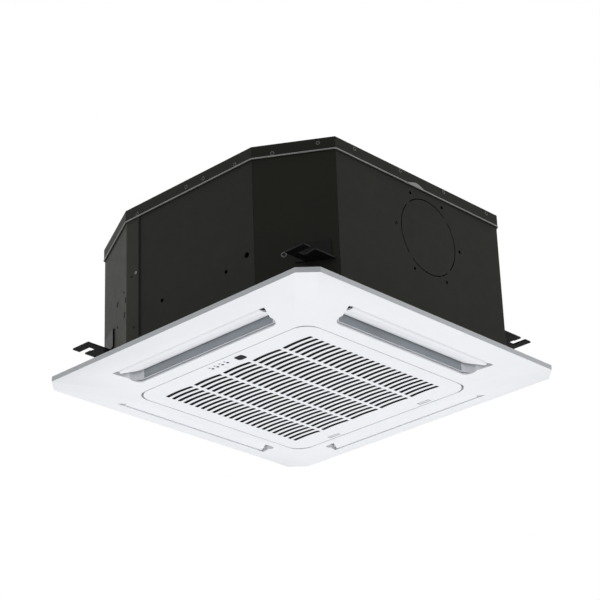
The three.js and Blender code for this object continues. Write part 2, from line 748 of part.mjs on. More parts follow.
function grilleHoles() {
  const holes = [];
  for (let row = 0; row < GRILLE_ROWS; row += 1) {
    for (let column = 0; column < GRILLE_COLUMNS; column += 1) {
      const x = ROW_SHIFT + (row - (GRILLE_ROWS - 1) / 2) * ROW_PITCH;
      const y = (column - (GRILLE_COLUMNS - 1) / 2) * COLUMN_PITCH;
      holes.push(grilleSlot().map((p) => point(p.x + x, p.y + y)));
    }
  }
  return holes;
}

function intakeGrille() {
  const outline = roundedSquare(GRILLE_HALF, GRILLE_RADIUS);
  const inner = roundedSquare(GRILLE_HALF - FLANGE_WALL, GRILLE_RADIUS - FLANGE_WALL);
  const above = GRILLE_THICK + CUT;
  let grille = prism(outline, 0, GRILLE_THICK, grilleHoles());
  grille = grille.add(prism(outline, GRILLE_THICK - FLANGE_ROOT, GRILLE_FLANGE, [inner]));
  grille = grille.add(alongY(HINGE_PIN_RADIUS, -HINGE_IN, HINGE_HEIGHT, HINGE_PIN_HALF_SPAN));
  [-LATCH_Y, LATCH_Y].forEach((y) => {
    const half = LATCH_LENGTH / 2;
    const notch = LATCH_LENGTH / 4 + GAP;
    const thumbIn = LATCH_X - THUMB_SLOT_IN;
    const thumbHole = block(thumbIn, LATCH_X + THUMB_SLOT_OUT, y - half, y + half, -CUT, above);
    const edge = GRILLE_HALF + CUT;
    const flangeTop = GRILLE_FLANGE + CUT;
    const tongueGap = block(LATCH_X, edge, y - notch, y + notch, above - GAP, flangeTop);
    grille = grille.subtract(thumbHole).subtract(tongueGap);
  });
  grille = grille.subtract(receiverBlock(GAP, -CUT));
  lightPlaces().forEach((y) => {
    grille = grille.subtract(upright(LIGHT_RADIUS + GAP, DISPLAY_X, y, -CUT, above));
  });
  grille = grille.subtract(upright(BUTTON_RADIUS + GAP, BUTTON_X, BUTTON_Y, -CUT, above));
  return meshOf('intake_grille', grille, WHITE_PLASTIC);
}

function receiverBlock(grow, low) {
  const halfX = WINDOW_WIDTH / 2 + grow;
  const halfY = WINDOW_LENGTH / 2 + grow;
  const high = GRILLE_THICK + 1;
  return block(DISPLAY_X - halfX, DISPLAY_X + halfX, WINDOW_Y - halfY, WINDOW_Y + halfY, low, high);
}

function lightPlaces() {
  const places = [];
  for (let i = 0; i < LIGHT_COUNT; i += 1) {
    places.push(LIGHT_Y + (i - (LIGHT_COUNT - 1) / 2) * LIGHT_PITCH);
  }
  return places;
}

// each latch slides outward into its pocket to lock, and inward by its thumb rib to let go
function latches(group) {
  [['front', -LATCH_Y], ['back', LATCH_Y]].forEach(([name, y]) => {
    const low = GRILLE_THICK + GAP;
    const sliderEnd = GRILLE_HALF - FLANGE_WALL - LATCH_CATCH - 2 * GAP;
    const half = LATCH_LENGTH / 2;
    const slider = block(LATCH_X - LATCH_BACK, sliderEnd, y - half, y + half, low, low + LATCH_TONGUE);
    const tongueLow = GRILLE_THICK + 1;
    const tongueHigh = tongueLow + LATCH_TONGUE;
    const tongue = block(LATCH_X, OPENING_HALF - GAP, y - half / 2, y + half / 2, tongueLow, tongueHigh);
    const ribLow = LATCH_X - THUMB_INSET;
    const ribHalf = half - THUMB_INSET;
    const rib = block(ribLow, ribLow + THUMB_WIDTH, y - ribHalf, y + ribHalf, GAP, low + 1);
    group.add(meshOf(`grille_latch_${name}`, slider.add(tongue).add(rib), WHITE_PLASTIC));
  });
}

function displayParts(group) {
  const places = lightPlaces();
  const lastLight = places[LIGHT_COUNT - 1];
  const seat = GRILLE_THICK + GAP;
  group.add(meshOf('receiver_window', receiverBlock(0, LENS_RECESS), SMOKED));
  const bar = block(DISPLAY_X - LIGHT_BAR_HALF, DISPLAY_X + LIGHT_BAR_HALF, places[0] - LIGHT_BAR_HALF,
    lastLight + LIGHT_BAR_HALF, seat, seat + LIGHT_BAR_THICK);
  const lights = places.reduce((solid, y) => (
    solid.add(upright(LIGHT_RADIUS, DISPLAY_X, y, LENS_RECESS, seat + 1, 10))
  ), bar);
  group.add(meshOf('indicator_lens', lights, CLEAR_GREEN));
  const cap = upright(BUTTON_RADIUS, BUTTON_X, BUTTON_Y, BUTTON_RECESS, seat + 1);
  const lip = upright(BUTTON_RADIUS + BUTTON_LIP, BUTTON_X, BUTTON_Y, seat, seat + BUTTON_LIP_THICK);
  group.add(meshOf('manual_button', cap.add(lip), WHITE_PLASTIC));
  group.add(meshOf('display_box', displayBox(lastLight), BLACK_PLASTIC));
}

function displayBox(lastLight) {
  const room = {
    x0: DISPLAY_X - WINDOW_WIDTH / 2 - GAP,
    x1: BUTTON_X + BUTTON_RADIUS + BUTTON_LIP + GAP,
    y0: WINDOW_Y - WINDOW_LENGTH / 2 - DISPLAY_BOX_MARGIN + DISPLAY_BOX_WALL,
    y1: lastLight + LIGHT_BAR_HALF + DISPLAY_BOX_MARGIN - DISPLAY_BOX_WALL,
  };
  const shell = block(room.x0 - DISPLAY_BOX_WALL, room.x1 + DISPLAY_BOX_WALL, room.y0 - DISPLAY_BOX_WALL,
    room.y1 + DISPLAY_BOX_WALL, GRILLE_THICK + GAP, DISPLAY_BOX_HIGH);
  return shell.subtract(block(room.x0, room.x1, room.y0, room.y1, 0, DISPLAY_BOX_HIGH - DISPLAY_BOX_WALL));
}

function airFilter() {
  const low = GRILLE_THICK + GAP;
  const ribs = (FILTER_CELLS - 1) * FILTER_RIB;
  const cellX = (2 * (FILTER_HALF_X - FILTER_EDGE) - ribs) / FILTER_CELLS;
  const cellY = (2 * (FILTER_HALF_Y - FILTER_EDGE) - ribs) / FILTER_CELLS;
  let frame = block(-FILTER_HALF_X, FILTER_HALF_X, -FILTER_HALF_Y, FILTER_HALF_Y, low, low + FILTER_THICK);
  for (let i = 0; i < FILTER_CELLS; i += 1) {
    for (let j = 0; j < FILTER_CELLS; j += 1) {
      const x = -FILTER_HALF_X + FILTER_EDGE + i * (cellX + FILTER_RIB);
      const y = -FILTER_HALF_Y + FILTER_EDGE + j * (cellY + FILTER_RIB);
      frame = frame.subtract(block(x, x + cellX, y, y + cellY, low + FILTER_NET, low + FILTER_THICK + CUT));
    }
  }
  return meshOf('air_filter', frame, FILTER_GREY);
}

// ---------- casing ----------
function lidPlate() {
  const plate = prism(bodyOutline(0), BODY_HIGH - SHEET, BODY_HIGH);
  const flange = prism(bodyOutline(0), BODY_HIGH - LID_FLANGE, BODY_HIGH - SHEET / 2, [bodyOutline(SHEET)]);
  return meshOf('lid_plate', plate.add(flange), BLACK_SHEET);
}

// one flat sheet between two corners of the casing's outline
function wallSheet(from, trimStart = 0, trimEnd = 0) {
  const outer = bodyOutline(WALL_INSET);
  const inner = bodyOutline(WALL_INSET + SHEET);
  const to = (from + 1) % outer.length;
  const along = outer[to].clone().sub(outer[from]).normalize();
  const start = GAP / 2 + trimStart;
  const end = GAP / 2 + trimEnd;
  return prism([
    outer[from].clone().addScaledVector(along, start),
    outer[to].clone().addScaledVector(along, -end),
    inner[to].clone().addScaledVector(along, -end),
    inner[from].clone().addScaledVector(along, start),
  ], BODY_LOW, WALL_TOP);
}

function frontHoles() {
  const low = -LID_FRONT - DRILL;
  const high = -LID_FRONT + DRILL;
  const ring = (radius) => rod(radius, [KNOCKOUT_X, low, KNOCKOUT_Z], [KNOCKOUT_X, high, KNOCKOUT_Z], 36);
  let cut = ring(KNOCKOUT_RADIUS).subtract(ring(KNOCKOUT_RADIUS - KNOCKOUT_CUT));
  const half = (KNOCKOUT_RADIUS * radians(KNOCKOUT_TAB_DEGREES)) / 2;
  const inner = KNOCKOUT_RADIUS - 2 * KNOCKOUT_CUT;
  const bridge = block(inner, KNOCKOUT_RADIUS + KNOCKOUT_CUT, low, high, -half, half);
  for (let tab = 0; tab < KNOCKOUT_TABS; tab += 1) {
    const angle = KNOCKOUT_TAB_TURN + (360 * tab) / KNOCKOUT_TABS;
    cut = cut.subtract(bridge.rotate([0, -angle, 0]).translate([KNOCKOUT_X, 0, KNOCKOUT_Z]));
  }
  for (let hole = 0; hole < KNOCKOUT_HOLES; hole += 1) {
    const angle = radians((360 * hole) / KNOCKOUT_HOLES);
    const x = KNOCKOUT_X + KNOCKOUT_HOLE_CIRCLE * Math.cos(angle);
    const z = KNOCKOUT_Z + KNOCKOUT_HOLE_CIRCLE * Math.sin(angle);
    cut = cut.add(rod(KNOCKOUT_HOLE_RADIUS, [x, low, z], [x, high, z], 10));
  }
  return cut;
}

function backHoles() {
  const hole = (radius, x, z) => rod(radius, [x, LID_BACK - DRILL, z], [x, LID_BACK + DRILL, z]);
  return hole(GAS_RADIUS + GAP, PIPE_X, GAS_Z)
    .add(hole(LIQUID_RADIUS + GAP, PIPE_X, LIQUID_Z))
    .add(hole(DRAIN_RADIUS + GAP, PUMP_X, DRAIN_Z));
}

function drilledLeft(sheet) {
  return LEFT_HOLES.reduce((solid, { y, z, radius }) => (
    solid.subtract(rod(radius, [-LID_HALF_X - DRILL, y, z], [-LID_HALF_X + DRILL, y, z], 12))
  ), sheet);
}

function casing(group) {
  const coverLap = bodyOutline(WALL_INSET)[4].y - COVER_JOINT_Y;
  const sheets = {
    side_right: wallSheet(0),
    corner_back_right: wallSheet(1),
    side_back: wallSheet(2).subtract(backHoles()),
    side_left: drilledLeft(wallSheet(4, coverLap)),
    corner_front_left: wallSheet(5),
    side_front: wallSheet(6).subtract(frontHoles()),
    corner_front_right: wallSheet(7),
    corner_cover: cornerCover(),
  };
  Object.entries(sheets).forEach(([name, solid]) => group.add(meshOf(name, solid, BLACK_SHEET)));
}

// the back left corner is a cover bent round on to the left side
function cornerCover() {
  const outer = bodyOutline(WALL_INSET);
  const inner = bodyOutline(WALL_INSET + SHEET);
  const along = outer[4].clone().sub(outer[3]).normalize();
  const joint = COVER_JOINT_Y + GAP / 2;
  return prism([
    outer[3].clone().addScaledVector(along, GAP / 2),
    outer[4].clone(),
    point(outer[4].x, joint),
    point(inner[4].x, joint),
    inner[4].clone(),
    inner[3].clone().addScaledVector(along, GAP / 2),
  ], BODY_LOW, WALL_TOP);
}

function topLiner() {
  const outline = bodyOutline(WALL_INSET + SHEET + GAP);
  const liner = prism(outline, WALL_TOP - LINER_THICK, WALL_TOP, [circle(MOTOR_FLANGE + 1, 32)]);
  return meshOf('top_liner', liner, BLACK_FOAM);
}

// a lug for the corner on the +X, +Y side; legs are the chamfer's own
function lug(legX, legY, faceY) {
  const wall = insetPolygon([
    point(LID_HALF_X, -faceY), point(LID_HALF_X, faceY - legY), point(LID_HALF_X - legX, faceY),
    point(-LID_HALF_X, faceY), point(-LID_HALF_X, -faceY),
  ], WALL_INSET - GAP);
  const along = wall[2].clone().sub(wall[1]).normalize();
  const outward = point(along.y, -along.x);
  const boltY = LUG_BOLT_Y + faceY - LID_BACK;
  const low = LUG_HEIGHT - CUT;
  const top = LUG_HEIGHT + LUG_SHEET;
  const plateIn = LUG_OUT - LUG_REACH_IN;
  let plate = block(plateIn, LUG_OUT, boltY - LUG_HALF_Y, boltY + LUG_HALF_Y, LUG_HEIGHT, top);
  plate = plate.subtract(prism(wall, low, top + CUT));
  const middle = wall[2].clone().addScaledVector(along, -LUG_FLANGE_HALF - LUG_FLANGE_SHIFT);
  const outer = middle.clone().addScaledVector(outward, LUG_SHEET);
  const flange = prism([
    middle.clone().addScaledVector(along, -LUG_FLANGE_HALF),
    outer.clone().addScaledVector(along, -LUG_FLANGE_HALF),
    outer.clone().addScaledVector(along, LUG_FLANGE_HALF),
    middle.clone().addScaledVector(along, LUG_FLANGE_HALF),
  ], LUG_HEIGHT, LUG_HEIGHT + LUG_FLANGE_HEIGHT);
  const half = LUG_SLOT / 2;
  const high = top + CUT;
  const slotIn = LUG_BOLT_X - LUG_SLOT_REACH;
  const slot = block(slotIn, LUG_BOLT_X + half, boltY - half, boltY + half, low, high);
  const mouthEnd = boltY + LUG_HALF_Y + CUT;
  const mouth = block(LUG_BOLT_X - half, LUG_BOLT_X + half, boltY, mouthEnd, low, high);
  return plate.add(flange).subtract(slot).subtract(mouth);
}

function lugs(group) {
  const back = lug(BACK_LEG_X, BACK_LEG_Y, LID_BACK);
  const front = lug(FRONT_LEG_X, FRONT_LEG_Y, LID_FRONT).mirror([0, 1, 0]);
  group.add(meshOf('lug_back_right', back, BLACK_STEEL));
  group.add(meshOf('lug_back_left', back.mirror([1, 0, 0]), BLACK_STEEL));
  group.add(meshOf('lug_front_right', front, BLACK_STEEL));
  group.add(meshOf('lug_front_left', front.mirror([1, 0, 0]), BLACK_STEEL));
}

// ---------- fan and motor ----------
function turboFan() {
  const waist = MOTOR_RADIUS + CONE_WAIST;
  const rim = MOTOR_RADIUS + CONE_RIM;
  const plateLow = FAN_HIGH - FAN_SHEET;
  const hub = lathe([
    [SHAFT_RADIUS + GAP, HUB_LOW], [HUB_RADIUS, HUB_LOW], [HUB_RADIUS + HUB_FLARE, HUB_HIGH - HUB_FLARE],
    [waist, FAN_HIGH - CONE_RISE], [rim, plateLow], [FAN_RADIUS, plateLow],
    [FAN_RADIUS, FAN_HIGH], [rim - FAN_SHEET, FAN_HIGH],
    [waist - FAN_SHEET, FAN_HIGH - CONE_RISE + FAN_SHEET],
    [HUB_RADIUS + HUB_FLARE / 2, HUB_HIGH], [SHAFT_RADIUS + GAP, HUB_HIGH],
  ], 28);
  const shroudLow = FAN_LOW + SHROUD_RISE;
  const shroud = lathe([
    [FAN_EYE, FAN_LOW], [FAN_EYE + FAN_SHEET, FAN_LOW], [FAN_EYE + SHROUD_FLARE, FAN_LOW + SHROUD_THROAT],
    [FAN_RADIUS, shroudLow], [FAN_RADIUS, shroudLow + FAN_SHEET],
    [FAN_EYE + SHROUD_FLARE - FAN_SHEET, FAN_LOW + SHROUD_THROAT + FAN_SHEET],
    [FAN_EYE, FAN_LOW + FAN_SHEET],
  ], 28);
  let fan = hub.add(shroud);
  for (let i = 0; i < FAN_BLADES; i += 1) {
    fan = fan.add(fanBlade().rotate([0, 0, (360 * i) / FAN_BLADES]));
  }
  return meshOf('turbo_fan', fan, BLACK_PLASTIC);
}

// a backward-swept blade between the shroud and the hub plate
function fanBlade() {
  const steps = 5;
  const start = FAN_EYE - FAN_BLADE_START;
  const end = FAN_RADIUS - FAN_BLADE_END;
  const upper = [];
  const lower = [];
  for (let i = 0; i <= steps; i += 1) {
    const share = i / steps;
    const radius = start + (end - start) * share;
    const angle = -BLADE_SWEEP * share;
    const half = FAN_BLADE_EDGE + FAN_BLADE_SWELL * Math.sin(Math.PI * share);
    const tangent = point(-Math.sin(angle), Math.cos(angle));
    const middle = point(radius * Math.cos(angle), radius * Math.sin(angle));
    upper.push(middle.clone().addScaledVector(tangent, half));
    lower.push(middle.clone().addScaledVector(tangent, -half));
  }
  const low = FAN_LOW + FAN_SHEET;
  const blade = prism([...lower, ...upper.reverse()], low, FAN_HIGH - FAN_SHEET / 2);
  const shroudMiddle = FAN_SHEET / 2;
  return blade.subtract(lathe([
    [0, low - CUT], [FAN_RADIUS + CUT, low - CUT],
    [FAN_RADIUS + CUT, FAN_LOW + SHROUD_RISE + shroudMiddle],
    [FAN_RADIUS, FAN_LOW + SHROUD_RISE + shroudMiddle],
    [FAN_EYE + SHROUD_FLARE - shroudMiddle, FAN_LOW + SHROUD_THROAT + shroudMiddle],
    [FAN_EYE + shroudMiddle, FAN_LOW + shroudMiddle + CUT],
    [start - CUT, FAN_LOW + SHROUD_RISE], [0, FAN_LOW + SHROUD_RISE],
  ], 28));
}

function motorParts(group) {
  const linerLow = WALL_TOP - LINER_THICK;
  const bore = SHAFT_RADIUS + GAP;
  const can = lathe([
    [bore, MOTOR_LOW], [MOTOR_BOSS, MOTOR_LOW], [MOTOR_BOSS + 2, MOTOR_LOW + MOTOR_BOSS_HEIGHT],
    [MOTOR_RADIUS, MOTOR_LOW + MOTOR_SHOULDER], [MOTOR_RADIUS, linerLow],
    [MOTOR_FLANGE, linerLow + MOTOR_FLANGE_EDGE], [MOTOR_FLANGE, WALL_TOP], [0, WALL_TOP],
    [0, MOTOR_LOW + MOTOR_BORE], [bore, MOTOR_LOW + MOTOR_BORE],
  ], 32);
  group.add(meshOf('fan_motor', can, ZINC));
  const nutTop = HUB_LOW - GAP;
  const nutLow = HUB_LOW - NUT_HEIGHT;
  const shaft = upright(SHAFT_RADIUS, 0, 0, nutLow - SHAFT_BELOW_NUT, MOTOR_LOW + MOTOR_BORE - GAP, 16);
  group.add(meshOf('motor_shaft', shaft, ZINC));
  const nut = upright(SHAFT_RADIUS + NUT_WALL, 0, 0, nutLow - GAP, nutTop, 6);
  group.add(meshOf('hub_nut', nut.subtract(upright(bore, 0, 0, nutLow - CUT, HUB_LOW, 16)), ZINC));
}

function bellMouth() {
  const flangeTop = BELL_LOW + BELL_SHEET;
  const neckHigh = BELL_LOW + BELL_NECK_HIGH;
  const profile = [
    [BELL_FLANGE, BELL_LOW], [BELL_FLANGE, flangeTop], [BELL_THROAT + BELL_MOUTH, flangeTop],
    [BELL_THROAT + BELL_CURVE, BELL_LOW + BELL_CURVE_HIGH], [BELL_THROAT + BELL_NECK, neckHigh],
    [BELL_THROAT + BELL_SHEET, BELL_HIGH], [BELL_THROAT, BELL_HIGH], [BELL_THROAT, neckHigh],
    [BELL_THROAT + BELL_CURVE - BELL_NECK, BELL_LOW + BELL_CURVE_HIGH - 1],
    [BELL_THROAT + BELL_MOUTH - 2, BELL_LOW],
  ];
  return meshOf('bell_mouth', lathe(profile, 32), BLACK_PLASTIC);
}

// ---------- heat exchanger, pan, pump, pipes ----------
function coilParts(group) {
  const low = TROUGH_FLOOR + GAP;
  const high = WALL_TOP - LINER_THICK - GAP;
  const inner = roundedSquare(COIL_INNER, COIL_RADIUS - COIL_DEPTH, 5);
  const ring = prism(roundedSquare(COIL_OUTER, COIL_RADIUS, 5), low, high, [inner]);
  const cornerEnd = COIL_OUTER + CUT;
  const coil = ring.subtract(block(COIL_END, cornerEnd, COIL_END, cornerEnd, 0, BODY_HIGH));
  group.add(meshOf('heat_exchanger', coil, ALUMINIUM));
  const start = COIL_END + GAP;
  const near = COIL_INNER - END_PLATE_RIM;
  const far = COIL_OUTER + END_PLATE_RIM;
  group.add(meshOf('coil_plate_back', block(start, start + END_PLATE, near, far, low, high), ZINC));
  group.add(meshOf('coil_plate_right', block(near, far, start, start + END_PLATE, low, high), ZINC));
}

function drainPan() {
  const outline = bodyOutline(WALL_INSET + SHEET + GAP);
  const body = prism(outline, BODY_LOW, PAN_HIGH, [circle(PAN_HOLE, 40)]);
  const troughOutline = roundedSquare(COIL_OUTER + TROUGH_RIM, COIL_RADIUS);
  const trough = prism(troughOutline, TROUGH_FLOOR, PAN_HIGH + CUT, [circle(PAN_HOLE + PAN_WALL, 40)]);
  let pan = body.subtract(trough);
  for (let side = 0; side < QUARTERS; side += 1) {
    pan = pan.subtract(turnedAboutZ(outletWindow(), side));
    const bolt = upright(BOLT_RADIUS + GAP, BOLT_AT, BOLT_AT, 0, BODY_LOW + BOLT_DEPTH + GAP, 10);
    pan = pan.subtract(turnedAboutZ(bolt, side));
  }
  pan = pan.subtract(upright(PLUG_RADIUS + GAP, PLUG_X, PLUG_Y, 0, TROUGH_FLOOR + CUT, 16));
  return meshOf('drain_pan', pan, WHITE_FOAM);
}

function drainParts(group) {
  const floor = TROUGH_FLOOR + GAP;
  const plugLow = BODY_LOW - GAP;
  const plug = upright(PLUG_RADIUS, PLUG_X, PLUG_Y, plugLow, TROUGH_FLOOR - 1, 16)
    .add(upright(PLUG_RADIUS - PLUG_LIP, PLUG_X, PLUG_Y, plugLow - PLUG_FOOT, BODY_LOW, 16));
  group.add(meshOf('drain_plug', plug, BLACK_PLASTIC));
  const pump = lathe([
    [0, floor], [PUMP_FOOT, floor], [PUMP_FOOT, PAN_HIGH], [PUMP_RADIUS, PAN_HIGH + PUMP_ABOVE_PAN],
    [PUMP_RADIUS, PUMP_HIGH - PUMP_SHOULDER], [PUMP_RADIUS - PUMP_CROWN, PUMP_HIGH], [0, PUMP_HIGH],
  ], 20).translate([PUMP_X, PUMP_Y, 0]);
  group.add(meshOf('drain_pump', pump, BLACK_PLASTIC));
  const start = PUMP_Y + PUMP_RADIUS + GAP;
  const spout = rod(DRAIN_RADIUS, [PUMP_X, start, DRAIN_Z], [PUMP_X, DRAIN_END_Y, DRAIN_Z], 20)
    .subtract(rod(DRAIN_BORE, [PUMP_X, start - CUT, DRAIN_Z], [PUMP_X, DRAIN_END_Y + CUT, DRAIN_Z], 20));
  group.add(meshOf('drain_outlet', spout, BLACK_PLASTIC));
  const half = STEM_HEAD_HALF;
  const head = block(FLOAT_X - half, FLOAT_X + half, FLOAT_Y - half, FLOAT_Y + half,
    STEM_HEAD_LOW, STEM_HEAD_HIGH);
  const stem = upright(STEM_RADIUS, FLOAT_X, FLOAT_Y, floor, STEM_HIGH).add(head);
  group.add(meshOf('float_switch', stem, WHITE_PLASTIC));
  const float = upright(FLOAT_RADIUS, FLOAT_X, FLOAT_Y, floor, TROUGH_FLOOR + FLOAT_HEIGHT, 16)
    .subtract(upright(STEM_RADIUS + GAP, FLOAT_X, FLOAT_Y, 0, STEM_HIGH));
  group.add(meshOf('float', float, WHITE_FOAM));
}

function pipes(group) {
  const start = COIL_END + END_PLATE + 2 * GAP;
  const y = (COIL_INNER + COIL_OUTER) / 2;
  [['gas', GAS_RADIUS, GAS_Z], ['liquid', LIQUID_RADIUS, LIQUID_Z]].forEach(([name, radius, z]) => {
    const route = [[start, y, z], [PIPE_X, y, z], [PIPE_X, PIPE_END_Y, z]];
    group.add(meshOf(`${name}_pipe`, pipe(radius, route, PIPE_BEND), COPPER));
    const nutStart = LID_BACK + FLARE_FROM_CASING;
    const nut = rod(radius + FLARE_WALL, [PIPE_X, nutStart, z], [PIPE_X, PIPE_END_Y - FLARE_FROM_END, z], 6)
      .subtract(rod(radius + GAP, [PIPE_X, LID_BACK, z], [PIPE_X, PIPE_END_Y + CUT, z], 16));
    group.add(meshOf(`${name}_flare_nut`, nut, BRASS));
  });
}

// ---------- electrical box ----------
function electricalParts(group) {
  const top = BELL_LOW - GAP;
  const coverTop = EBOX_LOW + EBOX_WALL;
  const half = EBOX_HALF_X;
  const inside = half - EBOX_WALL;
  const hollow = block(-inside, inside, EBOX_NEAR + EBOX_WALL, EBOX_FAR - EBOX_WALL, 0, top - EBOX_WALL);
  const tray = block(-half, half, EBOX_NEAR, EBOX_FAR, coverTop + GAP, top).subtract(hollow);
  group.add(meshOf('electrical_box', tray, ZINC));
  group.add(meshOf('electrical_cover', block(-half, half, EBOX_NEAR, EBOX_FAR, EBOX_LOW, coverTop), ZINC));
  const roof = top - EBOX_WALL - GAP;
  const boardTop = roof - BOARD_DROP;
  const boardMiddle = boardTop - BOARD_THICK / 2;
  const relay = RELAY_START - half;
  const post = POST_START - half;
  const board = block(BOARD_INSET_X - half, half - BOARD_END_INSET, EBOX_NEAR + BOARD_INSET_Y,
    EBOX_FAR - BOARD_INSET_Y, boardTop - BOARD_THICK, boardTop)
    .add(block(relay, relay + RELAY_LENGTH, EBOX_NEAR + RELAY_INSET_NEAR, EBOX_FAR - RELAY_INSET_FAR,
      boardMiddle - RELAY_HIGH, boardMiddle))
    .add(block(post, post + POST_LENGTH, EBOX_NEAR + POST_INSET_NEAR, EBOX_FAR - POST_INSET_FAR,
      boardMiddle, roof));
  group.add(meshOf('control_board', board, BOARD_GREEN));
  const terminalEnd = half - BOARD_INSET_X;
  const terminals = block(terminalEnd - TERMINAL_WIDTH, terminalEnd, EBOX_NEAR + TERMINAL_INSET_Y,
    EBOX_FAR - TERMINAL_INSET_Y, roof - TERMINAL_HIGH, roof);
  group.add(meshOf('terminal_block', terminals, BLACK_PLASTIC));
}

// ---------- assembly ----------
const group = new THREE.Group();
group.add(lidPlate());
casing(group);
lugs(group);
group.add(topLiner());
motorParts(group);
group.add(turboFan());
group.add(bellMouth());
coilParts(group);
group.add(drainPan());
drainParts(group);
pipes(group);
electricalParts(group);
group.add(panelFrame());
group.add(panelFoam());
group.add(panelGasket());
panelBolts(group);
louvres(group);
group.add(intakeGrille());
latches(group);
displayParts(group);
group.add(airFilter());

export default group;
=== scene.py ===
"""Looks of the ceiling cassette: refined skins, fixings, materials, light and camera.

Every length is in metres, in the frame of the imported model.
"""
import json
import logging
import math
from collections.abc import Iterable, Sequence
from dataclasses import dataclass, field
from enum import Enum

import bmesh
import bpy
from mathutils import Matrix, Vector


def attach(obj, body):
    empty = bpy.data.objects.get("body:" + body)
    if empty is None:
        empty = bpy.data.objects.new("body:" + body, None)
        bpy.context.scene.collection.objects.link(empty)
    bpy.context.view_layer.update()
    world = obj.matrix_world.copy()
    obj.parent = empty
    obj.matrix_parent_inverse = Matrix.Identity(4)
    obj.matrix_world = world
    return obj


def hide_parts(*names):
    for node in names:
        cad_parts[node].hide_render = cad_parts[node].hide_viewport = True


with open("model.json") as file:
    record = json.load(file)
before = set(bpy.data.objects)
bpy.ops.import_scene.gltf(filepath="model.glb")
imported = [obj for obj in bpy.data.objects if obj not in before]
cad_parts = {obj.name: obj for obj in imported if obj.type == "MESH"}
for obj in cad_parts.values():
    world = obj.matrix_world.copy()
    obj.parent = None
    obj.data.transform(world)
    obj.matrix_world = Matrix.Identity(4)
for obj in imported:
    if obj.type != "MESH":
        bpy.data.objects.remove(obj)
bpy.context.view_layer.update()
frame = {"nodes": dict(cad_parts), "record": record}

LOG = logging.getLogger("cassette")
MM = 0.001
LEFT = Vector((-1, 0, 0))
FRONT = Vector((0, -1, 0))
PLATE_ROUNDNESS = 2
TUBE_ROUNDNESS = 3

Point2 = tuple[float, float]
Point3 = tuple[float, float, float]
Points = tuple[Point2, ...]
Colour = tuple[float, float, float]


# ---------- materials ----------
class Relief(Enum):
    """How a surface is textured."""

    GRAIN = "fine moulded grain"
    PEEL = "powder-coat orange peel"
    FOAM = "open foam cells"
    FINS = "stacked metal fins"
    NET = "woven net"


@dataclass(frozen=True)
class Texture:
    """The small relief of a surface.

    Args:
        relief: kind of texture.
        scale: features per metre.
        depth: depth of the relief.
    """

    relief: Relief
    scale: float
    depth: float


@dataclass(frozen=True)
class Finish:
    """One surface finish, as numbers for its nodes.

    Args:
        name: name of the material.
        slot: material slot of the record that this finish belongs to; not used.
        colour: linear base colour.
        texture: its small relief.
        roughness: middle roughness.
        drift: share by which the colour varies over the surface.
        metallic: 1 for bare metal, 0 otherwise.
        gloss: specular level.
    """

    name: str
    slot: str
    colour: Colour
    texture: Texture
    roughness: float
    drift: float = 0.10
    metallic: float = 0.0
    gloss: float = 0.35


POWDER_GLOSS = 0.10


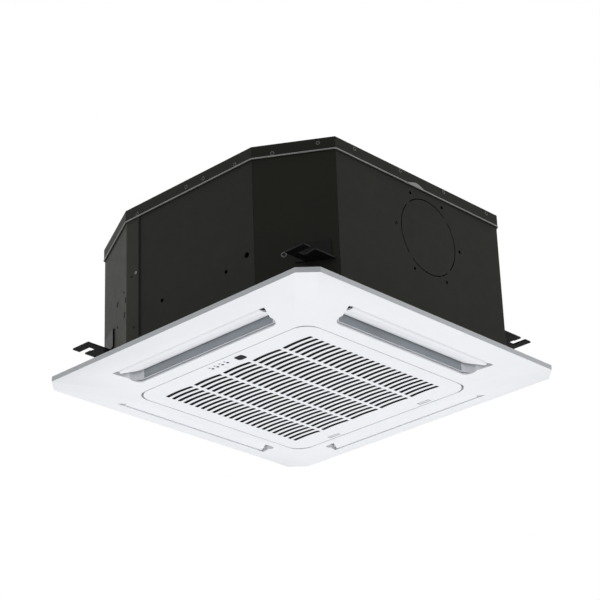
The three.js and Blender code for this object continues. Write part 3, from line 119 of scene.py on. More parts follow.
class Finishes:
    """The finishes of the real unit, with some colours that paint highlight or shade onto it."""

    WHITE = Finish(
        "white_moulding", "white_plastic", (0.80, 0.813, 0.836),
        Texture(Relief.GRAIN, 1400.0, 2e-5), roughness=0.42, drift=0.012)
    GREY_FOAM = Finish(
        "grey_insulation", "grey_foam", (0.34, 0.365, 0.39),
        Texture(Relief.FOAM, 900.0, 2.5e-4), roughness=0.9)
    SHEET = Finish(
        "painted_sheet", "casing_sheet", (0.0218, 0.0228, 0.0168),
        Texture(Relief.PEEL, 650.0, 3e-5), roughness=0.55, drift=0.08, gloss=POWDER_GLOSS)
    COVER = Finish(
        "cover_sheet", "casing_sheet", (0.046, 0.046, 0.036),
        Texture(Relief.PEEL, 650.0, 3e-5), roughness=0.55, gloss=POWDER_GLOSS)
    # Near-black painted shade for holes, the cover joint, the knock-out slits and the rivet and bolt heads.
    SHADE_BLACK = Finish(
        "painted_shade_black", "casing_sheet", (0.003, 0.003, 0.003),
        Texture(Relief.GRAIN, 900.0, 2e-5), roughness=0.85)
    LUG = Finish(
        "painted_lug", "lug_steel", (0.012, 0.012, 0.013),
        Texture(Relief.PEEL, 800.0, 3e-5), roughness=0.42, drift=0.12, gloss=POWDER_GLOSS)
    BLACK = Finish(
        "black_moulding", "black_plastic", (0.02, 0.02, 0.022),
        Texture(Relief.GRAIN, 1200.0, 3e-5), roughness=0.5)
    BLACK_FOAM = Finish(
        "black_insulation", "black_foam", (0.012, 0.012, 0.012),
        Texture(Relief.FOAM, 700.0, 3e-4), roughness=0.95, drift=0.15)
    WHITE_FOAM = Finish(
        "expanded_foam", "white_foam", (0.70, 0.71, 0.70),
        Texture(Relief.FOAM, 320.0, 3e-4), roughness=0.9, drift=0.04)
    FINS = Finish(
        "aluminium_fins", "fin_aluminium", (0.55, 0.57, 0.58),
        Texture(Relief.FINS, 640.0, 4e-4), roughness=0.38, drift=0.05, metallic=1.0)
    ZINC = Finish(
        "plated_steel", "plated_steel", (0.46, 0.47, 0.48),
        Texture(Relief.GRAIN, 500.0, 2e-5), roughness=0.36, drift=0.08, metallic=1.0)
    # Lighter grey painted highlight on the rims of the rivets and of the corner washer.
    RIM_HIGHLIGHT = Finish(
        "painted_rim_highlight", "casing_sheet", (0.15, 0.155, 0.145),
        Texture(Relief.GRAIN, 500.0, 2e-5), roughness=0.45, metallic=0.2)
    # Lighter grey painted highlight for the lid's hem, the crimp in its flange and the cover screws.
    GREY_HIGHLIGHT = Finish(
        "painted_grey_highlight", "casing_sheet", (0.25, 0.255, 0.24),
        Texture(Relief.GRAIN, 500.0, 2e-5), roughness=0.4, metallic=0.4)
    COPPER = Finish(
        "copper_tube", "copper", (0.62, 0.27, 0.13),
        Texture(Relief.GRAIN, 300.0, 3e-5), roughness=0.3, metallic=1.0)
    BRASS = Finish(
        "brass_nut", "nut_brass", (0.60, 0.42, 0.14),
        Texture(Relief.GRAIN, 400.0, 2e-5), roughness=0.32, drift=0.08, metallic=1.0)
    BOARD = Finish(
        "circuit_board", "board", (0.03, 0.14, 0.06),
        Texture(Relief.GRAIN, 900.0, 4e-5), roughness=0.5)
    SMOKED = Finish(
        "smoked_window", "smoked_window", (0.006, 0.007, 0.010),
        Texture(Relief.GRAIN, 1500.0, 4e-6), roughness=0.22)
    LENS = Finish(
        "light_lens", "light_lens", (0.014, 0.015, 0.018),
        Texture(Relief.GRAIN, 600.0, 1e-5), roughness=0.3)
    # Dark grey net, darkened further so that the slots read near-black: partly its own colour, partly
    # painted shade.
    NET = Finish(
        "filter_net", "filter_net", (0.022, 0.023, 0.025),
        Texture(Relief.NET, 900.0, 3e-4), roughness=0.8)
    MARK = Finish(
        "printed_mark", "white_plastic", (0.10, 0.105, 0.12),
        Texture(Relief.GRAIN, 1500.0, 1e-5), roughness=0.6, drift=0.05)


@dataclass(frozen=True)
class Surface:
    """The nodes of one finish's material.

    Args:
        finish: the finish.
        tree: the material's nodes.
        place: the coordinates that its textures use.
    """

    DRIFT_SCALE = 9.0
    DRIFT_DETAIL = 5.0
    DRIFT_STOPS = (0.3, 0.7)
    SMEAR_SCALE = 45.0
    SMEAR_DETAIL = 3.0
    SMEAR = 0.06
    SMOOTHEST = 0.02
    BUMP_STRENGTH = 0.6
    WAVE_SHARE = 20.0
    PEEL_DETAIL = 2.0
    GRAIN_DETAIL = 4.0

    finish: Finish
    tree: bpy.types.NodeTree
    place: bpy.types.NodeSocket

    def wire(self) -> None:
        """Sets up the shader and what feeds it."""
        shader = self.tree.nodes["Principled BSDF"]
        shader.inputs["Metallic"].default_value = self.finish.metallic
        shader.inputs["Specular IOR Level"].default_value = self.finish.gloss
        self.tree.links.new(self._colour(), shader.inputs["Base Color"])
        self.tree.links.new(self._roughness(), shader.inputs["Roughness"])
        bump = self.tree.nodes.new("ShaderNodeBump")
        bump.inputs["Strength"].default_value = self.BUMP_STRENGTH
        bump.inputs["Distance"].default_value = self.finish.texture.depth
        self.tree.links.new(self._relief(), bump.inputs["Height"])
        self.tree.links.new(bump.outputs["Normal"], shader.inputs["Normal"])

    def _noise(self, scale: float, detail: float) -> bpy.types.NodeSocket:
        """Adds a noise texture.

        Args:
            scale: features per metre.
            detail: levels of finer noise.

        Returns:
            The noise's value.
        """
        noise = self.tree.nodes.new("ShaderNodeTexNoise")
        noise.inputs["Scale"].default_value = scale
        noise.inputs["Detail"].default_value = detail
        self.tree.links.new(self.place, noise.inputs["Vector"])
        return noise.outputs["Fac"]

    def _colour(self) -> bpy.types.NodeSocket:
        """Adds a colour that drifts slowly over the surface.

        Returns:
            The colour.
        """
        ramp = self.tree.nodes.new("ShaderNodeValToRGB")
        shares = (1.0 - self.finish.drift, 1.0 + self.finish.drift)
        for stop, position, share in zip(ramp.color_ramp.elements, self.DRIFT_STOPS, shares):
            stop.position = position
            stop.color = (*(min(1.0, c * share) for c in self.finish.colour), 1.0)
        self.tree.links.new(self._noise(self.DRIFT_SCALE, self.DRIFT_DETAIL), ramp.inputs["Fac"])
        return ramp.outputs["Color"]

    def _roughness(self) -> bpy.types.NodeSocket:
        """Adds a roughness that varies a little, as on a handled surface.

        Returns:
            The roughness.
        """
        middle = self.finish.roughness
        spread = self.tree.nodes.new("ShaderNodeMapRange")
        spread.inputs["To Min"].default_value = max(self.SMOOTHEST, middle - self.SMEAR)
        spread.inputs["To Max"].default_value = min(1.0, middle + self.SMEAR)
        self.tree.links.new(self._noise(self.SMEAR_SCALE, self.SMEAR_DETAIL), spread.inputs["Value"])
        return spread.outputs["Result"]

    def _relief(self) -> bpy.types.NodeSocket:
        """Adds the height pattern of the texture.

        Returns:
            The height.
        """
        texture = self.finish.texture
        if texture.relief is Relief.FOAM:
            cells = self.tree.nodes.new("ShaderNodeTexVoronoi")
            cells.inputs["Scale"].default_value = texture.scale
            self.tree.links.new(self.place, cells.inputs["Vector"])
            return cells.outputs["Distance"]
        if texture.relief in (Relief.FINS, Relief.NET):
            wave = self.tree.nodes.new("ShaderNodeTexWave")
            wave.bands_direction = "X" if texture.relief is Relief.FINS else "DIAGONAL"
            wave.inputs["Scale"].default_value = texture.scale / self.WAVE_SHARE
            self.tree.links.new(self.place, wave.inputs["Vector"])
            return wave.outputs["Fac"]
        detail = self.PEEL_DETAIL if texture.relief is Relief.PEEL else self.GRAIN_DETAIL
        return self._noise(texture.scale, detail)


@dataclass
class MaterialBook:
    """Builds each finish once, as a node material.

    Args:
        made: the materials made so far, by name.
    """

    made: dict[str, bpy.types.Material] = field(default_factory=dict)

    def get(self, finish: Finish) -> bpy.types.Material:
        """Gives the material of a finish.

        Args:
            finish: the finish wanted.

        Returns:
            The material, made on first use.
        """
        if finish.name not in self.made:
            material = bpy.data.materials.new(finish.name)
            material.use_nodes = True
            place = material.node_tree.nodes.new("ShaderNodeTexCoord").outputs["Object"]
            Surface(finish, material.node_tree, place).wire()
            self.made[finish.name] = material
        return self.made[finish.name]


# ---------- mesh tools ----------
def arc(centre: Point2, radius: float, start: float, end: float, steps: int) -> list[Point2]:
    """Points along an arc.

    Args:
        centre: the arc's centre.
        radius: its radius.
        start: first angle in degrees.
        end: last angle in degrees.
        steps: number of segments.

    Returns:
        steps + 1 points.
    """
    turns = (math.radians(start + (end - start) * i / steps) for i in range(steps + 1))
    return [(centre[0] + radius * math.cos(t), centre[1] + radius * math.sin(t)) for t in turns]


def rounded_square(half: float, radius: float, steps: int = 12) -> list[Point2]:
    """Outline of a square with rounded corners.

    Args:
        half: half of its side.
        radius: corner radius.
        steps: segments per corner.

    Returns:
        The outline, counter-clockwise.
    """
    c = half - radius
    points: list[Point2] = []
    for quarter, (x, y) in enumerate(((c, c), (-c, c), (-c, -c), (c, -c))):
        points += arc((x, y), radius, 90 * quarter, 90 * quarter + 90, steps)
    return points


def softened(corners: Sequence[Point2], radius: float, steps: int = 3) -> list[Point2]:
    """Rounds each corner of a polygon.

    Args:
        corners: the polygon.
        radius: how far from each corner the curve starts.
        steps: segments per corner.

    Returns:
        The polygon with curved corners.
    """
    share = 0.45
    points: list[Point2] = []
    count = len(corners)
    for i, corner in enumerate(corners):
        here = Vector(corner)
        back = Vector(corners[i - 1]) - here
        on = Vector(corners[(i + 1) % count]) - here
        a = here + back.normalized() * min(radius, back.length * share)
        b = here + on.normalized() * min(radius, on.length * share)
        for k in range(steps + 1):
            t = k / steps
            p = a * (1 - t) ** 2 + here * 2 * t * (1 - t) + b * t**2
            points.append((p.x, p.y))
    return points


def moved(points: Iterable[Point2], dx: float, dy: float) -> list[Point2]:
    """Shifts an outline.

    Args:
        points: the outline.
        dx: shift along X.
        dy: shift along Y.

    Returns:
        The shifted outline.
    """
    return [(x + dx, y + dy) for x, y in points]


def disc(centre: Point2, radius: float, steps: int = 20) -> list[Point2]:
    """Outline of a circle.

    Args:
        centre: its centre.
        radius: its radius.
        steps: number of points.

    Returns:
        The outline.
    """
    return arc(centre, radius, 0, 360, steps)[:-1]


def mesh_of_curve(curve: bpy.types.Curve) -> bpy.types.Mesh:
    """Turns a curve into a mesh and removes the curve.

    Args:
        curve: the curve data.

    Returns:
        The new mesh.
    """
    holder = bpy.data.objects.new("holder", curve)
    bpy.context.scene.collection.objects.link(holder)
    bpy.context.view_layer.update()
    mesh = bpy.data.meshes.new_from_object(holder.evaluated_get(bpy.context.evaluated_depsgraph_get()))
    bpy.data.objects.remove(holder)
    bpy.data.curves.remove(curve)
    return mesh


def plate(
    outline: Sequence[Point2], holes: Iterable[Sequence[Point2]], low: float, high: float, edge: float
) -> bpy.types.Mesh:
    """A flat plate with holes and rounded edges.

    Args:
        outline: its outer edge, seen from above.
        holes: the edges of its holes.
        low: height of its lower face.
        high: height of its upper face.
        edge: radius of every edge.

    Returns:
        The plate's mesh.
    """
    curve = bpy.data.curves.new("plate", "CURVE")
    curve.dimensions = "2D"
    curve.fill_mode = "BOTH"
    curve.extrude = (high - low) / 2 - edge
    curve.bevel_depth = edge
    curve.bevel_resolution = PLATE_ROUNDNESS
    curve.offset = -edge
    for ring in (outline, *holes):
        spline = curve.splines.new("POLY")
        spline.points.add(len(ring) - 1)
        for p, (x, y) in zip(spline.points, ring):
            p.co = (x, y, 0.0, 1.0)
        spline.use_cyclic_u = True
    mesh = mesh_of_curve(curve)
    mesh.transform(Matrix.Translation((0, 0, (low + high) / 2)))
    return mesh


def tube(path: Sequence[Vector], radius: float, closed: bool = False) -> bpy.types.Mesh:
    """A round bar along a path.

    Args:
        path: its middle line.
        radius: its radius.
        closed: whether the path is a loop.

    Returns:
        The bar's mesh.
    """
    curve = bpy.data.curves.new("tube", "CURVE")
    curve.dimensions = "3D"
    curve.bevel_depth = radius
    curve.bevel_resolution = TUBE_ROUNDNESS
    curve.use_fill_caps = True
    spline = curve.splines.new("POLY")
    spline.points.add(len(path) - 1)
    for p, place in zip(spline.points, path):
        p.co = (*place, 1.0)
    spline.use_cyclic_u = closed
    return mesh_of_curve(curve)


def turned(profile: Sequence[Point2], segments: int) -> bpy.types.Mesh:
    """A body of revolution about Z.

    Args:
        profile: (radius, height) pairs from the axis outward.
        segments: number of segments.

    Returns:
        The body's mesh.
    """
    weld = 1e-7
    work = bmesh.new()
    verts = [work.verts.new((r, 0.0, z)) for r, z in profile]
    edges = [work.edges.new(pair) for pair in zip(verts, verts[1:])]
    bmesh.ops.spin(
        work, geom=[*verts, *edges], axis=(0, 0, 1), cent=(0, 0, 0), angle=math.tau, steps=segments)
    bmesh.ops.remove_doubles(work, verts=work.verts, dist=weld)
    bmesh.ops.recalc_face_normals(work, faces=work.faces)
    mesh = bpy.data.meshes.new("turned")
    work.to_mesh(mesh)
    work.free()
    return mesh


def joined(meshes: Iterable[bpy.types.Mesh]) -> bpy.types.Mesh:
    """Puts several meshes into one.

    Args:
        meshes: the meshes, which are removed.

    Returns:
        One mesh that holds them all.
    """
    work = bmesh.new()
    for part in meshes:
        work.from_mesh(part)
        bpy.data.meshes.remove(part)
    mesh = bpy.data.meshes.new("joined")
    work.to_mesh(mesh)
    work.free()
    return mesh


def set_on(mesh: bpy.types.Mesh, place: Vector, normal: Vector) -> bpy.types.Mesh:
    """Stands a mesh that was made on Z up on a surface.

    Args:
        mesh: the mesh, changed in place.
        place: the point of the surface.
        normal: the surface's outward direction.

    Returns:
        The same mesh.
    """
    turn = normal.to_track_quat("Z", "Y").to_matrix().to_4x4()
    mesh.transform(Matrix.Translation(place) @ turn)
    return mesh


# ---------- shared services of the sub-assemblies ----------
@dataclass
class Workshop:
    """Makes pieces and keeps count of them.

    Args:
        book: the materials.
        bodies: CAD node name to body name.
        made: names of the pieces made so far.
    """

    WELD = 2e-6
    FLAT_ANGLE = 0.6
    UPRIGHT_DRIFT = 1e-6
    THIN_PLATE = 4 * MM
    CORNER_STEPS = 5
    EDGE_STEPS = 3
    EDGE_ANGLE = 28.0

    book: MaterialBook
    bodies: dict[str, str]
    made: list[str] = field(default_factory=list)

    def piece(
        self, name: str, mesh: bpy.types.Mesh, finish: Finish, body: str,
        replaces: Sequence[str] = (), smooth: float = 35.0,
    ) -> bpy.types.Object:
        """Adds one visible piece.

        Args:
            name: its name.
            mesh: its mesh.
            finish: its finish.
            body: the CAD body that it rides on.
            replaces: the CAD nodes that it stands for.
            smooth: edges sharper than this many degrees stay sharp.

        Returns:
            The new object.
        """
        mesh.name = name
        mesh.materials.clear()
        mesh.materials.append(self.book.get(finish))
        mesh.shade_smooth()
        mesh.set_sharp_from_angle(angle=math.radians(smooth))
        thing = bpy.data.objects.new(name, mesh)
        bpy.context.scene.collection.objects.link(thing)
        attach(thing, body)
        if replaces:
            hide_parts(*replaces)
        self.made.append(name)
        return thing

    def dressed(self, node: str, finish: Finish, edge: float, corner: float = 0.0) -> None:
        """Stands a softened copy of a CAD node in for it.

        Args:
            node: the node's name.
            finish: the copy's finish.
            edge: radius given to its edges.
            corner: radius given first to the upright corners of a thin plate.
        """
        work = bmesh.new()
        work.from_mesh(frame["nodes"][node].data)
        bmesh.ops.remove_doubles(work, verts=work.verts, dist=self.WELD)
        bmesh.ops.dissolve_limit(
            work, angle_limit=math.radians(self.FLAT_ANGLE), verts=work.verts, edges=work.edges)
        if corner:
            upright = [
                e for e in work.edges if (e.verts[0].co - e.verts[1].co).xy.length < self.UPRIGHT_DRIFT]
            thin = [e for e in upright if e.calc_length() < self.THIN_PLATE]
            bmesh.ops.bevel(
                work, geom=thin, offset=corner, segments=self.CORNER_STEPS, profile=0.5,
                affect="EDGES", clamp_overlap=True)
        mesh = bpy.data.meshes.new(node)
        work.to_mesh(mesh)
        work.free()
        self.rounded(self.piece(f"{node}_skin", mesh, finish, self.bodies[node], (node,)), edge)

    def rounded(self, thing: bpy.types.Object, edge: float) -> None:
        """Rounds a piece's sharp edges.

        Args:
            thing: the piece.
            edge: radius of its edges.
        """
        bevel = thing.modifiers.new("edges", "BEVEL")
        bevel.width = edge
        bevel.segments = self.EDGE_STEPS
        bevel.limit_method = "ANGLE"
        bevel.angle_limit = math.radians(self.EDGE_ANGLE)
        bevel.harden_normals = True

    def painted(self, node: str, finish: Finish) -> None:
        """Gives a CAD node that stays in view a finish.

        Args:
            node: the node's name.
            finish: its finish.
        """
        thing = frame["nodes"][node]
        thing.data.materials.clear()
        thing.data.materials.append(self.book.get(finish))


# ---------- casing ----------
@dataclass(frozen=True)
class FixingSizes:
    """Sizes of the casing's rivets, screws, bolt and holes.

    Each profile runs from the axis outward, as (radius, height). The domed head's is in shares.
    """

    dome: Points = (
        (0.0, 0.55), (0.12, 0.55), (0.2, 1.0), (0.45, 0.97), (0.8, 0.75), (1.0, 0.3), (1.0, 0.0))
    dome_segments: int = 20
    rivet_radius: float = 2.3 * MM
    rivet_high: float = 1.3 * MM
    rivet_rim: Points = ((0.0, 0.5 * MM), (3.2 * MM, 0.5 * MM), (3.5 * MM, 0.3 * MM), (3.5 * MM, 0.0))
    rim_segments: int = 24
    screw_radius: float = 3.0 * MM
    screw_high: float = 1.4 * MM
    washer: Points = ((0.0, 0.8 * MM), (4.6 * MM, 0.8 * MM), (5.0 * MM, 0.5 * MM), (5.0 * MM, 0.0))
    washer_segments: int = 28
    bolt_head: Points = (
        (0.0, 2.2 * MM), (2.4 * MM, 2.2 * MM), (2.8 * MM, 1.8 * MM), (2.8 * MM, 0.4 * MM))
    bolt_sides: int = 6
    bolt_smooth: float = 25.0
    hole: Points = ((0.0, 0.3 * MM), (2.5 * MM, 0.3 * MM), (2.7 * MM, 0.0))
    hole_segments: int = 18


@dataclass(frozen=True)
class CasingSizes:
    """Sizes of the casing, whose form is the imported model's, and of its small details.

    The legs are how far a cut corner reaches along x and y. A place is (y, z) on the left side,
    (x, z) on the front side, and on the near corner face (share of the way along it, z). The
    knock-out's turns and steps are in degrees.
    """

    lid_half_x: float = 0.289
    lid_front: float = -0.293
    lid_back: float = 0.285
    front_legs: Point2 = (0.076, 0.121)
    back_legs: Point2 = (0.074, 0.143)
    flange_low: float = 0.286
    wall_inset: float = 0.0018
    sheet_edge: float = 0.5 * MM
    lug_edge: float = 0.7 * MM
    lug_corner: float = 5 * MM
    hem_radius: float = 0.0014
    hem_out: float = 0.3 * MM
    hem_bend: float = 4 * MM
    hem_steps: int = 5
    crimp: Points = (
        (-0.042, 0.2865), (-0.030, 0.2895), (-0.018, 0.2930), (-0.009, 0.2950),
        (0.000, 0.2925), (0.008, 0.2895), (0.014, 0.2865))
    crimp_bend: float = 3 * MM
    crimp_steps: int = 4
    crimp_low: float = -0.5 * MM
    crimp_high: float = 1.4 * MM
    crimp_edge: float = 0.5 * MM
    left_rivets: Points = ((0.1116, 0.2925), (-0.0138, 0.2965), (-0.0562, 0.2965), (-0.1329, 0.2925))
    front_rivets: Points = ((-0.1656, 0.3035), (-0.0503, 0.3045), (0.0647, 0.3045), (0.1822, 0.3035))
    corner_rivets: Points = ((0.251, 0.2929), (0.795, 0.3011))
    corner_bolt: Point2 = (0.348, 0.1036)
    cover_joint: float = 0.108
    joint_low: float = 0.054
    joint_below_flange: float = 2 * MM
    joint_radius: float = 2.2 * MM
    cover_holes: Points = ((0.1281, 0.1768), (0.1224, 0.0789))
    cover_screws: Points = ((0.1165, 0.1805),)
    knockout_across: float = 0.038
    knockout_high: float = 0.134
    knockout_radius: float = 0.033
    knockout_turns: tuple[int, ...] = (128, 42, 218, 318, 170)
    knockout_steps: tuple[int, ...] = (-9, -3, 3, 9)
    knockout_line: float = 0.9 * MM


@dataclass
class Casing:
    """The sheet-metal body with its lid, fixings and hanging lugs.

    Args:
        shop: makes the pieces.
        sizes: the casing's sizes.
        fixings: the fixings' sizes.
    """

    SHEETS = ("lid_plate", "side_right", "corner_back_right", "side_back", "side_left",
              "corner_front_left", "side_front", "corner_front_right", "corner_cover")
    LUGS = ("lug_back_right", "lug_back_left", "lug_front_right", "lug_front_left")

    shop: Workshop
    sizes: CasingSizes = CasingSizes()
    fixings: FixingSizes = FixingSizes()

    def build(self) -> None:
        """Makes the casing's visible pieces."""
        s = self.sizes
        for node in self.SHEETS:
            finish = Finishes.COVER if node == "corner_cover" else Finishes.SHEET
            self.shop.dressed(node, finish, s.sheet_edge)
        for node in self.LUGS:
            self.shop.dressed(node, Finishes.LUG, s.lug_edge, s.lug_corner)
        self._hem()
        self._crimp()
        self._rivets()
        self._corner_fixings()
        self._cover_joint()
        self._cover_knockout()

    def _outline(self, inset: float) -> list[Point2]:
        """The lid's outline, drawn in by an inset.

        Args:
            inset: distance inward; negative is outward.

        Returns:
            Eight corners, counter-clockwise.
        """
        s = self.sizes
        x, (fx, fy), (bx, by) = s.lid_half_x, s.front_legs, s.back_legs
        corners = [
            (x, s.lid_front + fy), (x, s.lid_back - by), (x - bx, s.lid_back), (bx - x, s.lid_back),
            (-x, s.lid_back - by), (-x, s.lid_front + fy), (fx - x, s.lid_front), (x - fx, s.lid_front)]
        lines = []
        for a, b in zip(corners, corners[1:] + corners[:1]):
            along = (Vector(b) - Vector(a)).normalized()
            lines.append((Vector(a) + Vector((-along.y, along.x)) * inset, along))
        points = []
        for (p, u), (q, v) in zip(lines[-1:] + lines[:-1], lines):
            reach = ((q - p).x * v.y - (q - p).y * v.x) / (u.x * v.y - u.y * v.x)
            points.append(tuple(p + u * reach))
        return points

    def _hem(self) -> None:
        """The rolled lower edge of the lid's flange."""
        s = self.sizes
        ring = softened(self._outline(-s.hem_out), s.hem_bend, s.hem_steps)
        path = [Vector((x, y, s.flange_low + s.hem_radius)) for x, y in ring]
        # The hem's lighter grey is a painted highlight.
        self.shop.piece("lid_hem", tube(path, s.hem_radius, closed=True), Finishes.GREY_HIGHLIGHT, "casing")

    def _crimp(self) -> None:
        """The fold pressed into the front of the lid's flange."""
        s = self.sizes
        shape = softened(s.crimp, s.crimp_bend, s.crimp_steps)
        fold = plate(shape, [], s.crimp_low, s.crimp_high, s.crimp_edge)
        set_on(fold, Vector((0, s.lid_front, 0)), FRONT)
        # The crimp's lighter grey is a painted highlight.
        self.shop.piece("lid_crimp", fold, Finishes.GREY_HIGHLIGHT, "casing")

    def _head(self, radius: float, high: float) -> bpy.types.Mesh:
        """A domed head with a small recess in its middle.

        Args:
            radius: its radius.
            high: its height.

        Returns:
            The head's mesh, standing on Z.
        """
        f = self.fixings
        return turned([(radius * across, high * up) for across, up in f.dome], f.dome_segments)

    def _on_left(self, places: Points, inset: float) -> list[tuple[Vector, Vector]]:
        """Places on the left side.

        Args:
            places: the (y, z) pairs.
            inset: how far the side lies inside the lid.

        Returns:
            Each point with the side's outward direction.
        """
        return [(Vector((-self.sizes.lid_half_x + inset, y, z)), LEFT) for y, z in places]

    def _on_corner(self, inset: float, share: float, high: float) -> tuple[Vector, Vector]:
        """A place on the near corner face.

        Args:
            inset: how far the face lies inside the lid's outline.
            share: share of the way along the face, from the left.
            high: height.

        Returns:
            The point and the face's outward direction.
        """
        ring = self._outline(inset)
        a, b = Vector(ring[5]), Vector(ring[6])
        along = (b - a).normalized()
        return Vector((*a.lerp(b, share), high)), Vector((along.y, -along.x, 0.0))

    def _rivets(self) -> None:
        """The rivets round the lid's flange."""
        s, f = self.sizes, self.fixings
        spots = self._on_left(s.left_rivets, 0.0)
        spots += [(Vector((x, s.lid_front, z)), FRONT) for x, z in s.front_rivets]
        spots += [self._on_corner(0.0, share, high) for share, high in s.corner_rivets]
        rims = [set_on(turned(f.rivet_rim, f.rim_segments), *spot) for spot in spots]
        heads = [set_on(self._head(f.rivet_radius, f.rivet_high), *spot) for spot in spots]
        # The rivet rims' lighter grey is a painted highlight.
        self.shop.piece("rivet_rims", joined(rims), Finishes.RIM_HIGHLIGHT, "casing")
        # The rivet heads' near-black is painted shade.
        self.shop.piece("rivet_heads", joined(heads), Finishes.SHADE_BLACK, "casing")

    def _corner_fixings(self) -> None:
        """The bolt and washer on the near corner face."""
        s, f = self.sizes, self.fixings
        spot = self._on_corner(s.wall_inset, *s.corner_bolt)
        washer = set_on(turned(f.washer, f.washer_segments), *spot)
        # The washer's lighter grey is a painted highlight.
        self.shop.piece("corner_washer", washer, Finishes.RIM_HIGHLIGHT, "casing")
        head = set_on(turned(f.bolt_head, f.bolt_sides), *spot)
        # The bolt head's near-black is painted shade.
        self.shop.piece("corner_bolt", head, Finishes.SHADE_BLACK, "casing", smooth=f.bolt_smooth)

    def _cover_joint(self) -> None:
        """The open joint beside the corner cover and its two holes, drawn near-black as painted shade, and
        its screw, lighter grey as a painted highlight.
        """
        s, f = self.sizes, self.fixings
        x = -s.lid_half_x + s.wall_inset
        ends = (s.joint_low, s.flange_low - s.joint_below_flange)
        joint = tube([Vector((x, s.cover_joint, z)) for z in ends], s.joint_radius)
        holes = [
            set_on(turned(f.hole, f.hole_segments), *spot)
            for spot in self._on_left(s.cover_holes, s.wall_inset)]
        # The joint bar and the holes are near-black painted shade.
        self.shop.piece("cover_joint", joined([joint, *holes]), Finishes.SHADE_BLACK, "casing")
        heads = [
            set_on(self._head(f.screw_radius, f.screw_high), *spot)
            for spot in self._on_left(s.cover_screws, s.wall_inset)]
        # The screw heads' lighter grey is a painted highlight.
        self.shop.piece("cover_screws", joined(heads), Finishes.GREY_HIGHLIGHT, "casing")

    def _cover_knockout(self) -> None:
        """The punched arcs of the knock-out in the corner cover, drawn as near-black lines of painted shade.
        """
        s = self.sizes
        ring = self._outline(s.wall_inset)
        corner, end = Vector((*ring[4], 0.0)), Vector((*ring[3], 0.0))
        along = (end - corner).normalized()
        marks = []
        for turn in s.knockout_turns:
            path = []
            for step in s.knockout_steps:
                a = math.radians(turn + step)
                across = s.knockout_across + s.knockout_radius * math.cos(a)
                up = s.knockout_high + s.knockout_radius * math.sin(a)
                path.append(corner + along * across + Vector((0, 0, up)))
            marks.append(tube(path, s.knockout_line))
        # The arcs are near-black lines of painted shade.
        self.shop.piece("cover_knockout", joined(marks), Finishes.SHADE_BLACK, "casing")


# ---------- panel ----------
@dataclass(frozen=True)
class DisplaySizes:
    """Sizes of the window, lights and button beside the intake field.

    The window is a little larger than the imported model's, and the lights stand beside its own.
    """

    x: float = -0.188
    window_y: float = -0.0353
    window_length: float = 0.0195
    window_width: float = 0.0165
    window_bend: float = 5.5 * MM
    window_steps: int = 6
    window_low: float = 0.1 * MM
    window_high: float = 2.4 * MM
    window_edge: float = 0.3 * MM
    window_gap: float = 0.2 * MM
    lights: int = 4
    light_y: float = 0.0126
    light_pitch: float = 0.012
    light_beside: float = 1 * MM
    light_radius: float = 2.6 * MM
    light_segments: int = 16
    light_hole: float = 2.8 * MM
    light_high: float = 1.2 * MM
    light_edge: float = 0.15 * MM
    mark_beside: float = 7.5 * MM
    mark_behind: float = 1.5 * MM
    mark_radius: float = 2.0 * MM
    mark_sides: int = 6
    mark_low: float = -0.1 * MM
    mark_high: float = 0.4 * MM
    mark_edge: float = 0.05 * MM
    button: Point2 = (-0.177, 0.009)
    button_radius: float = 0.0024
    button_gap: float = 0.3 * MM
    button_edge: float = 0.3 * MM


@dataclass(frozen=True)
class GrilleSizes:
    """Sizes of the intake grille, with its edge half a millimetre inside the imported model's."""

    half: float = 0.2070
    radius: float = 0.033
    thick: float = 0.003
    flange: float = 0.008
    wall: float = 0.002
    rows: int = 24
    columns: int = 5
    row_pitch: float = 0.01392
    row_shift: float = -0.002
    column_pitch: float = 0.0716
    slot_length: float = 0.0645
    slot_width: float = 0.0076
    slot_bow: float = 0.0022
    slot_bend: float = 1.8 * MM
    slot_steps: int = 10
    field_bend: float = 6 * MM
    field_steps: int = 4
    bar_thick: float = 0.0008
    bar_edge: float = 0.3 * MM
    backing_inset: float = 0.2 * MM
    backing_edge: float = 0.2 * MM
    flange_overlap: float = 0.6 * MM
    flange_edge: float = 0.4 * MM
    latch_x: float = 0.198
    latch_y: float = 0.110
    latch_length: float = 0.028
    latch_in: float = 5 * MM
    latch_out: float = 4 * MM
    latch_bend: float = 1.5 * MM
    latch_edge: float = 0.4 * MM


